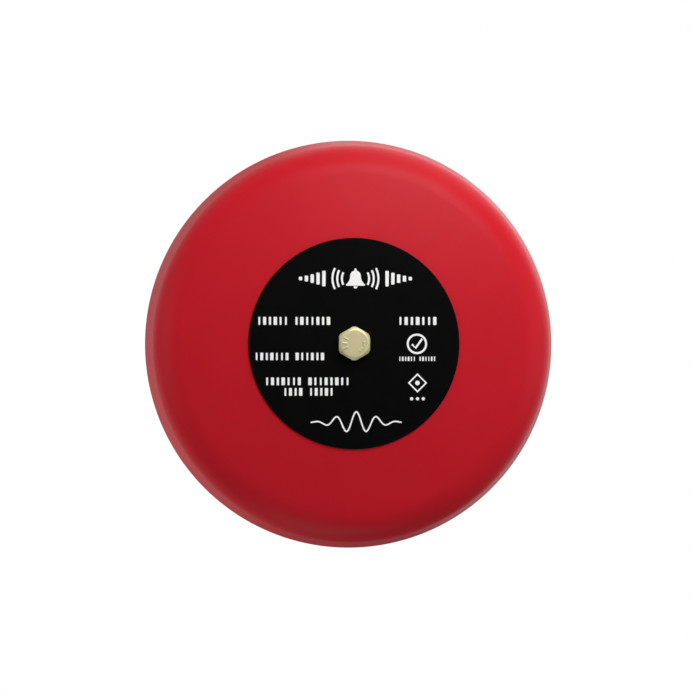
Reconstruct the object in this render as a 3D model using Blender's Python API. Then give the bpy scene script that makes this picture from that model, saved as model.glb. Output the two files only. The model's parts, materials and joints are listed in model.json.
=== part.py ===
"""Six-inch fire alarm bell. A small motor under the gong flings two hammers against its wall.

Frame: metres, +Z up. The origin is the centre of the wall face, on the gong's axis. The wall is the
plane y = 0 and the bell stands out from it along -Y.

Every length below is in millimetres. Each mesh is made with x to the right, y up and z out of the
wall, and hangs from an empty that turns z out of the wall into -Y of the world. In the names below,
OUT is a distance from the wall and UP is a height above the gong's axis. A pair of OUTs is the near
and the far face of a piece.
"""

import math

import bmesh
import bpy
from mathutils import Vector

MM = 0.001
WELD_DISTANCE = 1e-7
SMOOTH_BELOW = math.radians(35)

# Segments round a circle, by size.
LARGE = 60
MEDIUM = 32
SMALL = 20
TINY = 14

# FIT is left between pieces that are fixed together, RUN round whatever turns, and SEAT under a
# piece that stands on another.
FIT = 0.1
RUN = 0.07
SEAT = 0.3

# Gong.
GONG_RADIUS = 76.2
GONG_WALL = 1.8
RIM_OUT = 20.0
CROWN_OUT = 55.0
CROWN_RADIUS = 38.6
FACE_SLOPE = math.radians(10)
SKIRT_DRAFT = math.radians(9.65)
SHOULDER_RADIUS = 14.0
LABEL_RADIUS = 38.1
LABEL_THICKNESS = 0.25

# Bolt, 1/4 inch, with its post and washers.
BOLT_ACROSS_FLATS = 11.1
BOLT_SHANK_RADIUS = 3.15
BOLT_HEAD_HEIGHT = 4.4
BOLT_GRIP = 20.0
GONG_HOLE_RADIUS = BOLT_SHANK_RADIUS + 0.45
RUBBER_THICKNESS = 2.4
WASHER_THICKNESS = 1.4
POST_RADIUS = 6.0
POST_FOOT_RADIUS = 9.0

# Base plate.
PLATE_RADIUS = 60.0
PLATE_WALL = 1.5
PLATE_LIP_OUT = 6.0
KEYHOLE_SPACING = 88.9
KEYHOLE_DROP = 7.0
LOCK_SLOT_UP = 51.0
CABLE_ENTRY = (-27.0, 15.0)
CABLE_HOLE_RADIUS = 5.2

# Moulded chassis: a flange on the base plate with a cup and deck for the motor.
MOTOR_UP = -39.5
MOTOR_RADIUS = 12.2
CHASSIS_OUT = PLATE_WALL + SEAT
FLANGE_OUT = CHASSIS_OUT + 3.0
FLANGE_TOP_UP = 22.0
FLANGE_HALF_WIDTH = 17.5
CUP_RADIUS = MOTOR_RADIUS + 0.2
CUP_WALL = 2.8
DECK_OUT = 24.2
DECK_TOP_OUT = DECK_OUT + 2.0
POST_OPENING_RADIUS = 13.0
LOW_BOSS_OUT = 10.0
HIGH_BOSS_OUT = 7.5
CHASSIS_SCREWS = ((-13.0, -19.0, LOW_BOSS_OUT), (13.0, -19.0, LOW_BOSS_OUT), (0.0, 36.2, HIGH_BOSS_OUT))

# Motor, which is fixed under the deck.
CAP_OUT = 6.6
CAP_COLLAR_OUT = 9.6
CAN_OUTS = (7.0, DECK_OUT - 0.2)
CAN_WALL = 0.9
CAN_BOSS_HEIGHT = 1.5
SHAFT_RADIUS = 1.0
BUSH_RADIUS = 2.2
MOTOR_SCREW_SPACING = 17.0
COMMUTATOR_RADIUS = 2.6
COMMUTATOR_OUTS = (10.0, 12.2)
WINDING_OUTS = (12.6, 20.8)
CORE_OUTS = (14.3, 19.1)
CORE_RADIUS = 9.2
CORE_SHOE_INNER_RADIUS = 7.9
CORE_HUB_RADIUS = 3.4
CORE_NECK_HALF_WIDTH = 1.8
CORE_SHOE_HALF_ANGLE = 51
POLES = 3

# Hammer carrier, on the motor's shaft, and the two hammers pinned to it.
BAR_OUTS = (28.0, 30.0)
ARM_OUTS = (30.3, 32.3)
WEIGHT_OUTS = (28.0, 35.0)
PIVOT_OFFSET = 9.5
PIN_RADIUS = 1.5
WEIGHT_RADIUS = 4.5
WEIGHT_NECK_RADIUS = 2.0
ARM_HALF_WIDTH = 2.5
STOP_HALF_WIDTH = 4.35
STOP_HALF_LENGTH = 8.5
STRIKE_GAP = 0.45

# Circuit board and what is soldered to it.
BOARD_OUTS = (9.2, 10.8)
BOARD_HALF_WIDTH = 15.0
BOARD_UPS = (12.0, 32.0)
BOARD_SCREWS = ((-12.0, 29.2), (12.0, 29.2))
BOARD_REST = (0.0, 15.0)
TERMINAL_XS = (-12.6, -3.4)
TERMINAL_UPS = (16.2, 26.2)
TERMINAL_HEIGHT = 10.0
SUPPRESSOR_AT = (7.0, 22.0)
DIODE_AT = (1.6, 21.5)
LEAD_RADIUS = 0.65


def material(name, colour, roughness, metallic=0.0):
    """A Principled BSDF material."""
    made = bpy.data.materials.new(name)
    made.use_nodes = True
    shader = made.node_tree.nodes["Principled BSDF"]
    shader.inputs["Base Color"].default_value = (*colour, 1.0)
    shader.inputs["Roughness"].default_value = roughness
    shader.inputs["Metallic"].default_value = metallic
    made.diffuse_color = (*colour, 1.0)
    return made


def clear_scene():
    for found in list(bpy.data.objects):
        bpy.data.objects.remove(found)


def place(made, parent, at, turn):
    bpy.context.scene.collection.objects.link(made)
    made.parent = parent
    made.location = Vector(at) * MM
    made.rotation_euler = turn
    return made


def empty(name, parent=None, at=(0, 0, 0), turn=(0, 0, 0)):
    """A frame that pieces hang from, such as a joint's axis."""
    return place(bpy.data.objects.new(name, None), parent, at, turn)


def add_object(name, data, finish, parent, at=(0, 0, 0), turn=(0, 0, 0)):
    if finish:
        data.materials.append(finish)
    return place(bpy.data.objects.new(name, data), parent, at, turn)


def finished_mesh(name, shape):
    """Turns a bmesh into a mesh with its faces out, smooth where it is round."""
    bmesh.ops.remove_doubles(shape, verts=shape.verts, dist=WELD_DISTANCE)
    bmesh.ops.recalc_face_normals(shape, faces=shape.faces)
    mesh = bpy.data.meshes.new(name)
    shape.to_mesh(mesh)
    shape.free()
    mesh.shade_smooth()
    mesh.set_sharp_from_angle(angle=SMOOTH_BELOW)
    return mesh


def lathe(name, profile, segments, finish, parent, at=(0, 0, 0), turn=(0, 0, 0)):
    """A solid turned about the out axis from (radius, out) points. A profile that starts and ends
    on the axis is left open there. Any other profile is a closed loop, and makes a ring."""
    shape = bmesh.new()
    points = [shape.verts.new((r * MM, 0, out * MM)) for r, out in profile]
    edges = [shape.edges.new(pair) for pair in zip(points, points[1:])]
    if profile[0][0] > 0:
        edges.append(shape.edges.new((points[-1], points[0])))
    bmesh.ops.spin(
        shape,
        geom=points + edges,
        cent=(0, 0, 0),
        axis=(0, 0, 1),
        angle=math.tau,
        steps=segments,
        use_merge=True,
    )
    return add_object(name, finished_mesh(name, shape), finish, parent, at, turn)


def extruded(name, corners, along, finish, parent, at=(0, 0, 0)):
    """A solid made by pushing a face with these corners along a vector."""
    shape = bmesh.new()
    face = shape.faces.new([shape.verts.new(Vector(corner) * MM) for corner in corners])
    made = bmesh.ops.extrude_face_region(shape, geom=[face])["geom"]
    pushed = [v for v in made if isinstance(v, bmesh.types.BMVert)]
    bmesh.ops.translate(shape, verts=pushed, vec=Vector(along) * MM)
    return add_object(name, finished_mesh(name, shape), finish, parent, at)


def prism(name, outline, outs, finish, parent, at=(0, 0, 0)):
    """A solid with this (x, up) outline between two distances out."""
    corners = [(x, up, outs[0]) for x, up in outline]
    return extruded(name, corners, (0, 0, outs[1] - outs[0]), finish, parent, at)


def strip(name, side_view, x, thickness, finish, parent):
    """A flat strip with this (up, out) side view, in the plane of one x."""
    corners = [(x - thickness / 2, up, out) for up, out in side_view]
    return extruded(name, corners, (thickness, 0, 0), finish, parent)


def combine(target, operation, tools):
    """Adds a Boolean for each tool, which is kept as a hidden helper."""
    for tool in tools:
        change = target.modifiers.new(tool.name, "BOOLEAN")
        change.operation = operation
        change.object = tool
        tool.hide_render = True
        tool.display_type = "WIRE"


def keep_edges_crisp(target):
    """Shades what the Booleans made as flat as it is. It goes last."""
    split = target.modifiers.new("crisp_edges", "EDGE_SPLIT")
    split.split_angle = SMOOTH_BELOW


def polar(centre, radius, degrees):
    turn = math.radians(degrees)
    return (centre[0] + radius * math.cos(turn), centre[1] + radius * math.sin(turn))


def arc(centre, radius, start, end, steps):
    """Points from start to end, in degrees, both ends included."""
    return [polar(centre, radius, start + (end - start) * i / steps) for i in range(steps + 1)]


def obround(low, high, radius, steps):
    """The outline of two half circles, one above the other."""
    return arc(high, radius, 0, 180, steps) + arc(low, radius, 180, 360, steps)


def lying_obround(half_length, radius, up, steps):
    """The outline of two half circles side by side."""
    return arc((half_length, up), radius, -90, 90, steps) + arc((-half_length, up), radius, 90, 270, steps)


def rectangle(xs, ups):
    return [(xs[0], ups[0]), (xs[1], ups[0]), (xs[1], ups[1]), (xs[0], ups[1])]


def rod(radius, outs, chamfer=0.0):
    """The profile of a solid cylinder, chamfered at both ends if asked."""
    if not chamfer:
        return [(0, outs[0]), (radius, outs[0]), (radius, outs[1]), (0, outs[1])]
    low, high = outs
    inner = radius - chamfer
    side = [(radius, low + chamfer), (radius, high - chamfer)]
    return [(0, low), (inner, low), *side, (inner, high), (0, high)]


def ring(inner, outer, outs):
    """The profile of a cylinder with a hole through it."""
    return [(inner, outs[0]), (outer, outs[0]), (outer, outs[1]), (inner, outs[1])]


def tool(name, radius, outs, parent, at=(0, 0), segments=TINY):
    """A plain cylinder that a Boolean cuts away or adds."""
    return lathe(name, rod(radius, outs), segments, None, parent, (*at, 0))


def past(outs, extra=1.0):
    """The same span, longer at both ends, for a cut right through."""
    return (outs[0] - extra, outs[1] + extra)


def pan_screw(name, seat, tip, head_radius, shank_radius, finish, parent, at):
    """A screw with a domed head standing on its seat."""
    head_height = 0.6 * head_radius
    profile = [
        (0, tip),
        (0.6 * shank_radius, tip),
        (shank_radius, tip + 0.5 * shank_radius),
        (shank_radius, seat),
        (head_radius, seat),
        (head_radius, seat + 0.45 * head_height),
        (0.6 * head_radius, seat + head_height),
        (0, seat + head_height),
    ]
    return lathe(name, profile, TINY, finish, parent, (*at, 0))


def shoulder_arc(face_start, skirt_end, radius, steps):
    """The round between the sloping face and the skirt, given a point on each of the two lines."""
    down_face = Vector((math.cos(FACE_SLOPE), -math.sin(FACE_SLOPE)))
    up_skirt = Vector((-math.sin(SKIRT_DRAFT), math.cos(SKIRT_DRAFT)))
    gap = Vector(skirt_end) - Vector(face_start)
    to_corner = gap.cross(up_skirt) / down_face.cross(up_skirt)
    corner = Vector(face_start) + down_face * to_corner
    bend = math.pi / 2 - SKIRT_DRAFT - FACE_SLOPE
    start = corner - down_face * radius * math.tan(bend / 2)
    centre = start - Vector((math.sin(FACE_SLOPE), math.cos(FACE_SLOPE))) * radius
    return arc(centre, radius, 90 - math.degrees(FACE_SLOPE), math.degrees(SKIRT_DRAFT), steps)


def inner_wall_radius(out):
    """The radius inside the gong's skirt at a distance out."""
    outer = GONG_RADIUS - (out - RIM_OUT) * math.tan(SKIRT_DRAFT)
    return outer - GONG_WALL / math.cos(SKIRT_DRAFT)


def gong_profile():
    """Outside from the hole to the rim, then inside back to the hole."""
    rim_round = 0.5
    inner_rim = inner_wall_radius(RIM_OUT)
    outside = [(GONG_HOLE_RADIUS, CROWN_OUT), (CROWN_RADIUS, CROWN_OUT)]
    outside += shoulder_arc((CROWN_RADIUS, CROWN_OUT), (GONG_RADIUS, RIM_OUT), SHOULDER_RADIUS, 7)
    outside += [(GONG_RADIUS, RIM_OUT + rim_round), (GONG_RADIUS - rim_round, RIM_OUT)]

    face_start = (CROWN_RADIUS, CROWN_OUT - GONG_WALL / math.cos(FACE_SLOPE))
    bend_radius = CROWN_RADIUS - math.tan(FACE_SLOPE / 2) * GONG_WALL
    inside = [(GONG_HOLE_RADIUS, CROWN_OUT - GONG_WALL), (bend_radius, CROWN_OUT - GONG_WALL)]
    inside += shoulder_arc(face_start, (inner_rim, RIM_OUT), SHOULDER_RADIUS - GONG_WALL, 5)
    inside += [(inner_rim, RIM_OUT + rim_round), (inner_rim + rim_round, RIM_OUT)]
    return outside + inside[::-1]


def make_gong(parent, paint, black_film):
    """The gong and the round label on its crown. Returns how far out the label's face is."""
    lathe("gong", gong_profile(), LARGE, paint, parent)
    label_outs = (CROWN_OUT + FIT, CROWN_OUT + FIT + LABEL_THICKNESS)
    label = ring(GONG_HOLE_RADIUS + 0.4, LABEL_RADIUS, label_outs)
    lathe("gong_label", label, 48, black_film, parent)
    return label_outs[1]


def make_washers(parent, rubber, zinc):
    """The rubber that keeps the gong ringing and the steel behind it. Returns their rear face."""
    rubber_far = CROWN_OUT - GONG_WALL - FIT
    rubber_near = rubber_far - RUBBER_THICKNESS
    steel_far = rubber_near - FIT
    steel_near = steel_far - WASHER_THICKNESS
    lathe("isolating_washer", ring(GONG_HOLE_RADIUS, 10.0, (rubber_near, rubber_far)), 24, rubber, parent)
    lathe("backing_washer", ring(GONG_HOLE_RADIUS, 9.0, (steel_near, steel_far)), 24, zinc, parent)
    return steel_near


def make_bolt(parent, seat, finish):
    """The hexagon bolt, with the corners of its head turned back."""
    corner_radius = BOLT_ACROSS_FLATS / math.sqrt(3)
    top = seat + BOLT_HEAD_HEIGHT
    hexagon = [polar((0, 0), corner_radius, 30 + 60 * i) for i in range(6)]
    bolt = prism("gong_bolt", hexagon, (seat, top), finish, parent)
    washer_face_radius = 0.48 * BOLT_ACROSS_FLATS
    turned = [
        (0, seat - 1),
        (corner_radius + 1, seat - 1),
        (corner_radius + 1, top - 0.9),
        (washer_face_radius, top + 0.02),
        (0, top + 0.02),
    ]
    combine(bolt, "INTERSECT", [lathe("bolt_corner_guide", turned, 36, None, parent)])
    shank = (seat - BOLT_GRIP, seat + 0.5)
    combine(bolt, "UNION", [tool("bolt_shank_tool", BOLT_SHANK_RADIUS, shank, parent, segments=SMALL)])
    keep_edges_crisp(bolt)


def make_post(parent, top, finish):
    """The pillar that is welded to the base plate and tapped for the gong's bolt."""
    foot = PLATE_WALL + FIT
    hole_radius = BOLT_SHANK_RADIUS + FIT
    hole_floor = top - 22.0
    profile = [
        (0, foot),
        (POST_FOOT_RADIUS, foot),
        (POST_FOOT_RADIUS, foot + 2.0),
        (POST_RADIUS + 0.6, foot + 2.8),
        (POST_RADIUS, foot + 4.0),
        (POST_RADIUS, top - 0.6),
        (POST_RADIUS - 0.6, top),
        (hole_radius, top),
        (hole_radius, hole_floor),
        (0, hole_floor),
    ]
    lathe("centre_post", profile, 24, finish, parent)


def plate_profile():
    """A flat disc whose edge is turned forward."""
    bend = 1.6
    centre = (PLATE_RADIUS - PLATE_WALL - bend, PLATE_WALL + bend)
    outer = arc(centre, bend + PLATE_WALL, -90, 0, 4)
    inner = arc(centre, bend, 0, -90, 3)
    lip = [(PLATE_RADIUS, PLATE_LIP_OUT), (PLATE_RADIUS - PLATE_WALL, PLATE_LIP_OUT)]
    return [(0, 0)] + outer + lip + inner + [(0, PLATE_WALL)]


def make_base_plate(parent, finish, rubber):
    """The pressed plate against the wall, with its fixing slots, and the cable's grommet."""
    plate = lathe("base_plate", plate_profile(), 52, finish, parent)
    through = past((0, PLATE_WALL))
    slot_radius = 2.4
    cuts = [tool("cable_hole", CABLE_HOLE_RADIUS, through, parent, CABLE_ENTRY, SMALL)]
    for name, side in (("left", -1), ("right", 1)):
        x = side * KEYHOLE_SPACING / 2
        cuts.append(tool(f"keyhole_{name}", 4.6, through, parent, (x, -KEYHOLE_DROP), SMALL))
        slot = obround((x, -KEYHOLE_DROP), (x, 0), slot_radius, 5)
        cuts.append(prism(f"keyhole_slot_{name}", slot, through, None, parent))
    lock_slot = lying_obround(3.0, slot_radius, LOCK_SLOT_UP, 5)
    cuts.append(prism("lock_slot", lock_slot, through, None, parent))
    sink = [(0, -1.0), (4.0, -1.0), (1.75, 1.25), (1.75, through[1]), (0, through[1])]
    for i, (x, up, _) in enumerate(CHASSIS_SCREWS):
        cuts.append(lathe(f"countersink_{i + 1}", sink, TINY, None, parent, (x, up, 0)))
    combine(plate, "DIFFERENCE", cuts)
    keep_edges_crisp(plate)

    flange_out = PLATE_WALL + FIT
    grommet = [
        (6.6, flange_out),
        (6.6, flange_out + 1.0),
        (5.8, flange_out + 1.6),
        (3.0, flange_out + 1.6),
        (3.0, FIT),
        (CABLE_HOLE_RADIUS - 0.2, FIT),
        (CABLE_HOLE_RADIUS - 0.2, flange_out),
    ]
    lathe("cable_grommet", grommet, SMALL, rubber, parent, (*CABLE_ENTRY, 0))


def chassis_additions(parent, post_top):
    """What stands on the flange: the motor's cup, the board's posts and the screw bosses."""
    inside_flange = FLANGE_OUT - 1.0
    cup_outer = CUP_RADIUS + CUP_WALL
    cup_chamfer = 1.2
    cup = [
        (0, inside_flange),
        (cup_outer, inside_flange),
        (cup_outer, DECK_TOP_OUT - cup_chamfer),
        (cup_outer - cup_chamfer, DECK_TOP_OUT),
        (0, DECK_TOP_OUT),
    ]
    added = [lathe("motor_cup", cup, MEDIUM, None, parent, (0, MOTOR_UP, 0))]
    for i, at in enumerate((*BOARD_SCREWS, BOARD_REST)):
        added.append(tool(f"board_post_{i + 1}", 2.8, (inside_flange, post_top), parent, at))
    for i, (x, up, boss_out) in enumerate(CHASSIS_SCREWS):
        added.append(tool(f"screw_boss_{i + 1}", 3.2, (inside_flange, boss_out), parent, (x, up)))
    return added


def chassis_cuts(parent, post_top):
    """The motor's bore, the way for its leads, and every hole in the moulding."""
    motor = (0, MOTOR_UP)
    deck = past((DECK_OUT, DECK_TOP_OUT))
    lead_way = rectangle((-4.6, 4.6), (MOTOR_UP + 8.0, MOTOR_UP + 20.0))
    cuts = [
        tool("cup_bore", CUP_RADIUS, (0, DECK_OUT), parent, motor, MEDIUM),
        tool("deck_hole", 3.4, deck, parent, motor, SMALL),
        tool("post_opening", POST_OPENING_RADIUS, past((0, FLANGE_OUT)), parent, segments=MEDIUM),
        prism("lead_way", lead_way, (FLANGE_OUT - 1.0, FLANGE_OUT + 1.9), None, parent),
    ]
    for i, x in enumerate((-MOTOR_SCREW_SPACING / 2, MOTOR_SCREW_SPACING / 2)):
        cuts.append(tool(f"deck_screw_hole_{i + 1}", 1.4, deck, parent, (x, MOTOR_UP)))
    for i, (x, up, boss_out) in enumerate(CHASSIS_SCREWS):
        cuts.append(tool(f"boss_pilot_{i + 1}", 1.45, (0, boss_out - 1.2), parent, (x, up)))
    for i, at in enumerate(BOARD_SCREWS):
        cuts.append(tool(f"post_pilot_{i + 1}", 1.2, (FLANGE_OUT, post_top + 1), parent, at))
    return cuts


def make_chassis(parent, plastic, zinc):
    """One moulding, and the countersunk screws that hold it from behind the base plate."""
    low, high = (0, MOTOR_UP), (0, FLANGE_TOP_UP)
    outline = obround(low, high, FLANGE_HALF_WIDTH, 12)
    chassis = prism("chassis", outline, (CHASSIS_OUT, FLANGE_OUT), plastic, parent)
    post_top = BOARD_OUTS[0] - SEAT
    combine(chassis, "UNION", chassis_additions(parent, post_top))
    combine(chassis, "DIFFERENCE", chassis_cuts(parent, post_top))
    keep_edges_crisp(chassis)

    shank = 1.35
    for i, (x, up, boss_out) in enumerate(CHASSIS_SCREWS):
        tip = boss_out - 1.6
        head = [(0, FIT), (2.75, FIT), (shank, PLATE_WALL)]
        point = [(shank, tip - 0.6), (0.8, tip), (0, tip)]
        lathe(f"chassis_screw_{i + 1}", head + point, TINY, zinc, parent, (x, up, 0))


def make_can(parent, steel, zinc):
    """The motor's drawn steel can, and the screws that hold it to the deck."""
    inner = MOTOR_RADIUS - CAN_WALL
    rear, front = CAN_OUTS
    bush_hole = BUSH_RADIUS + FIT
    boss_radius = bush_hole + 0.8
    profile = [
        (inner, rear),
        (MOTOR_RADIUS, rear),
        (MOTOR_RADIUS, front - 0.8),
        (MOTOR_RADIUS - 0.8, front),
        (boss_radius, front),
        (boss_radius, front + CAN_BOSS_HEIGHT),
        (bush_hole, front + CAN_BOSS_HEIGHT),
        (bush_hole, front - CAN_WALL),
        (inner, front - CAN_WALL),
    ]
    can = lathe("motor_can", profile, MEDIUM, steel, parent)
    holes = []
    for name, x in (("left", -MOTOR_SCREW_SPACING / 2), ("right", MOTOR_SCREW_SPACING / 2)):
        wall = past((front - CAN_WALL, front))
        holes.append(tool(f"can_hole_{name}", 1.3, wall, parent, (x, 0)))
        tip = front - CAN_WALL - 0.6
        pan_screw(f"motor_screw_{name}", DECK_TOP_OUT + FIT, tip, 2.2, 1.2, zinc, parent, (x, 0))
    combine(can, "DIFFERENCE", holes)
    keep_edges_crisp(can)


def make_brushes(parent, bronze):
    """Two bent strips from the end cap to the commutator. Returns the slots they leave in the cap."""
    thickness = 0.3
    tab_out = CAP_OUT - 1.8
    near, far = COMMUTATOR_OUTS[0] + 0.2, COMMUTATOR_OUTS[1] - 0.2
    blade = [(-3.0, near), (6.0, near), (6.0, tab_out), (8.0, tab_out), (8.0, far), (-3.0, far)]
    slots = []
    for name, side in (("negative", -1), ("positive", 1)):
        x = side * (COMMUTATOR_RADIUS + 0.15 + thickness / 2)
        strip(f"motor_brush_{name}", blade, x, thickness, bronze, parent)
        slot = rectangle((x - 0.25, x + 0.25), (5.8, 8.2))
        slots.append(prism(f"brush_slot_{name}", slot, past((CAP_OUT, CAP_COLLAR_OUT)), None, parent))
    return slots


def make_end_cap(parent, plastic, bronze):
    """The moulded rear of the motor, which carries the brushes and the rear bush."""
    radius = MOTOR_RADIUS - CAN_WALL - 0.15
    floor = CAP_OUT + 1.8
    bush_hole = BUSH_RADIUS + FIT
    bush_seat = CAP_OUT + 0.6
    profile = [
        (0, CAP_OUT),
        (radius, CAP_OUT),
        (radius, floor),
        (bush_hole + 1.2, floor),
        (bush_hole + 1.2, CAP_COLLAR_OUT),
        (bush_hole, CAP_COLLAR_OUT),
        (bush_hole, bush_seat),
        (0, bush_seat),
    ]
    cap = lathe("motor_end_cap", profile, 28, plastic, parent)
    combine(cap, "DIFFERENCE", make_brushes(parent, bronze))
    keep_edges_crisp(cap)

    bore = SHAFT_RADIUS + RUN
    rear = (bush_seat + 0.2, CAP_COLLAR_OUT - 0.2)
    front = (CAN_OUTS[1] - CAN_WALL - 0.4, CAN_OUTS[1] + CAN_BOSS_HEIGHT - FIT)
    lathe("motor_bush_rear", ring(bore, BUSH_RADIUS, rear), SMALL, bronze, parent)
    lathe("motor_bush_front", ring(bore, BUSH_RADIUS, front), SMALL, bronze, parent)


def make_magnets(parent, ferrite):
    inner, outer = CORE_RADIUS + 0.4, MOTOR_RADIUS - CAN_WALL - FIT
    outs = (CAP_COLLAR_OUT, CAN_OUTS[1] - CAN_WALL - 1.0)
    half_angle = 62
    for name, middle in (("left", 180), ("right", 0)):
        outline = arc((0, 0), outer, middle - half_angle, middle + half_angle, 9)
        outline += arc((0, 0), inner, middle + half_angle, middle - half_angle, 9)
        prism(f"motor_magnet_{name}", outline, outs, ferrite, parent)


def pole_outline(neck, hub, shoe_inner, shoe_outer, half_angle):
    """The armature's outline: a hub with necks that end in curved shoes."""
    centre = (0, 0)
    at_hub = math.degrees(math.asin(neck / hub))
    at_shoe = math.degrees(math.asin(neck / shoe_inner))
    points = []
    for pole in range(POLES):
        middle = 90 + pole * 360 / POLES
        points.append(polar(centre, hub, middle - at_hub))
        points += arc(centre, shoe_inner, middle - at_shoe, middle - half_angle, 3)
        points += arc(centre, shoe_outer, middle - half_angle, middle + half_angle, 8)
        points += arc(centre, shoe_inner, middle + half_angle, middle + at_shoe, 3)
        points.append(polar(centre, hub, middle + at_hub))
    return points


def make_armature(parent, steel, laminations, copper, bore):
    """The shaft and what the magnets turn: commutator, core and windings."""
    shaft_outs = (CAP_OUT + 1.0, WEIGHT_OUTS[1] - 0.6)
    lathe("motor_shaft", rod(SHAFT_RADIUS, shaft_outs, 0.3), SMALL, steel, parent)
    lathe("commutator", ring(bore, COMMUTATOR_RADIUS, COMMUTATOR_OUTS), SMALL, copper, parent)

    outline = pole_outline(
        CORE_NECK_HALF_WIDTH, CORE_HUB_RADIUS, CORE_SHOE_INNER_RADIUS, CORE_RADIUS, CORE_SHOE_HALF_ANGLE
    )
    core = prism("armature_core", outline, CORE_OUTS, laminations, parent)
    combine(core, "DIFFERENCE", [tool("core_bore", bore, past(CORE_OUTS), parent, segments=SMALL)])
    keep_edges_crisp(core)

    slack = 0.25
    winding = ring(bore + 0.4, CORE_SHOE_INNER_RADIUS - slack, WINDING_OUTS)
    coils = lathe("armature_winding", winding, 28, copper, parent)
    room = pole_outline(
        CORE_NECK_HALF_WIDTH + slack, CORE_HUB_RADIUS + slack, CORE_RADIUS, CORE_RADIUS + 1, 20
    )
    combine(coils, "DIFFERENCE", [prism("core_room", room, past(CORE_OUTS, slack), None, parent)])
    keep_edges_crisp(coils)


def make_carrier(parent, nylon, zinc, bore):
    """The moulded carrier, its stop block and the push nut that keeps it on the shaft."""
    stop_top = ARM_OUTS[1] + 0.3
    bar = lying_obround(PIVOT_OFFSET, 3.7, 0, 7)
    carrier = prism("hammer_carrier", bar, BAR_OUTS, nylon, parent)
    stop = rectangle((-STOP_HALF_WIDTH, STOP_HALF_WIDTH), (-STOP_HALF_LENGTH, STOP_HALF_LENGTH))
    hub_outs = (DECK_TOP_OUT + 0.2, BAR_OUTS[0] + 0.5)
    block = prism("stop_block", stop, (BAR_OUTS[0], stop_top), None, parent)
    combine(carrier, "UNION", [block, tool("carrier_hub", 3.2, hub_outs, parent, segments=SMALL)])

    through = past((hub_outs[0], stop_top))
    holes = [tool("carrier_bore", bore, through, parent, segments=SMALL)]
    for name, x in (("left", -PIVOT_OFFSET), ("right", PIVOT_OFFSET)):
        holes.append(tool(f"pin_hole_{name}", PIN_RADIUS + 0.05, through, parent, (x, 0), SMALL))
    combine(carrier, "DIFFERENCE", holes)
    keep_edges_crisp(carrier)
    lathe("shaft_push_nut", ring(bore, 3.0, (stop_top + FIT, stop_top + 0.7)), SMALL, zinc, parent)


def make_hammer_pins(parent, steel, zinc):
    pin_outs = (BAR_OUTS[0] + 0.1, ARM_OUTS[1] + 1.6)
    clip_outs = (ARM_OUTS[1] + 0.25, ARM_OUTS[1] + 0.85)
    for name, x in (("left", -PIVOT_OFFSET), ("right", PIVOT_OFFSET)):
        lathe(f"hammer_pin_{name}", rod(PIN_RADIUS, pin_outs, 0.3), SMALL, steel, parent, (x, 0, 0))
        clip = ring(PIN_RADIUS + 0.05, 2.9, clip_outs)
        lathe(f"hammer_clip_{name}", clip, SMALL, zinc, parent, (x, 0, 0))


def make_rotor(parent, steel, laminations, copper, nylon, zinc):
    """Everything that turns with the motor's shaft, drawn about that shaft."""
    bore = SHAFT_RADIUS + 0.05
    make_armature(parent, steel, laminations, copper, bore)
    washer = ring(SHAFT_RADIUS + RUN, 2.4, (DECK_TOP_OUT - 0.6, DECK_TOP_OUT - 0.1))
    lathe("thrust_washer", washer, SMALL, nylon, parent)
    make_carrier(parent, nylon, zinc, bore)
    make_hammer_pins(parent, steel, zinc)


def hammer_length():
    """From pivot to weight, so that the flung-out weight just clears the gong's inner wall."""
    reach = inner_wall_radius(WEIGHT_OUTS[1]) - STRIKE_GAP + MOTOR_UP
    return reach - PIVOT_OFFSET - WEIGHT_RADIUS


def make_hammer(name, parent, steel, brass):
    """An arm that hangs from its pin, with a weight riveted in its end."""
    length = hammer_length()
    eye, tip = 3.5, 3.4
    eye_angle = math.degrees(math.acos(ARM_HALF_WIDTH / eye))
    tip_angle = math.degrees(math.acos(ARM_HALF_WIDTH / tip))
    outline = arc((0, 0), eye, -eye_angle, 180 + eye_angle, 13)
    outline += arc((0, -length), tip, 180 - tip_angle, 360 + tip_angle, 13)
    arm = prism(f"{name}_arm", outline, ARM_OUTS, steel, parent)
    through = past(ARM_OUTS)
    holes = [
        tool(f"{name}_eye", PIN_RADIUS + FIT, through, parent, segments=SMALL),
        tool(f"{name}_rivet_hole", WEIGHT_NECK_RADIUS + FIT, through, parent, (0, -length), SMALL),
    ]
    combine(arm, "DIFFERENCE", holes)
    keep_edges_crisp(arm)

    edge = 0.6
    side = 0.15
    low, high = WEIGHT_OUTS
    weight = [
        (0, low),
        (WEIGHT_RADIUS - edge, low),
        (WEIGHT_RADIUS, low + edge),
        (WEIGHT_RADIUS, ARM_OUTS[0] - side),
        (WEIGHT_NECK_RADIUS, ARM_OUTS[0] - side),
        (WEIGHT_NECK_RADIUS, ARM_OUTS[1] + side),
        (WEIGHT_RADIUS, ARM_OUTS[1] + side),
        (WEIGHT_RADIUS, high - edge),
        (WEIGHT_RADIUS - edge, high),
        (0, high),
    ]
    lathe(f"{name}_weight", weight, SMALL, brass, parent, (0, -length, 0))


def make_circuit_board(parent, laminate, zinc):
    """The board and its two screws. It stands on three posts of the chassis."""
    outline = rectangle((-BOARD_HALF_WIDTH, BOARD_HALF_WIDTH), BOARD_UPS)
    board = prism("circuit_board", outline, BOARD_OUTS, laminate, parent)
    holes = []
    for at, side in zip(BOARD_SCREWS, ("left", "right")):
        holes.append(tool(f"board_hole_{side}", 1.5, past(BOARD_OUTS), parent, at))
        seat, tip = BOARD_OUTS[1] + FIT, FLANGE_OUT + 0.5
        pan_screw(f"board_screw_{side}", seat, tip, 2.4, 1.1, zinc, parent, at)
    combine(board, "DIFFERENCE", holes)
    keep_edges_crisp(board)


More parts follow.
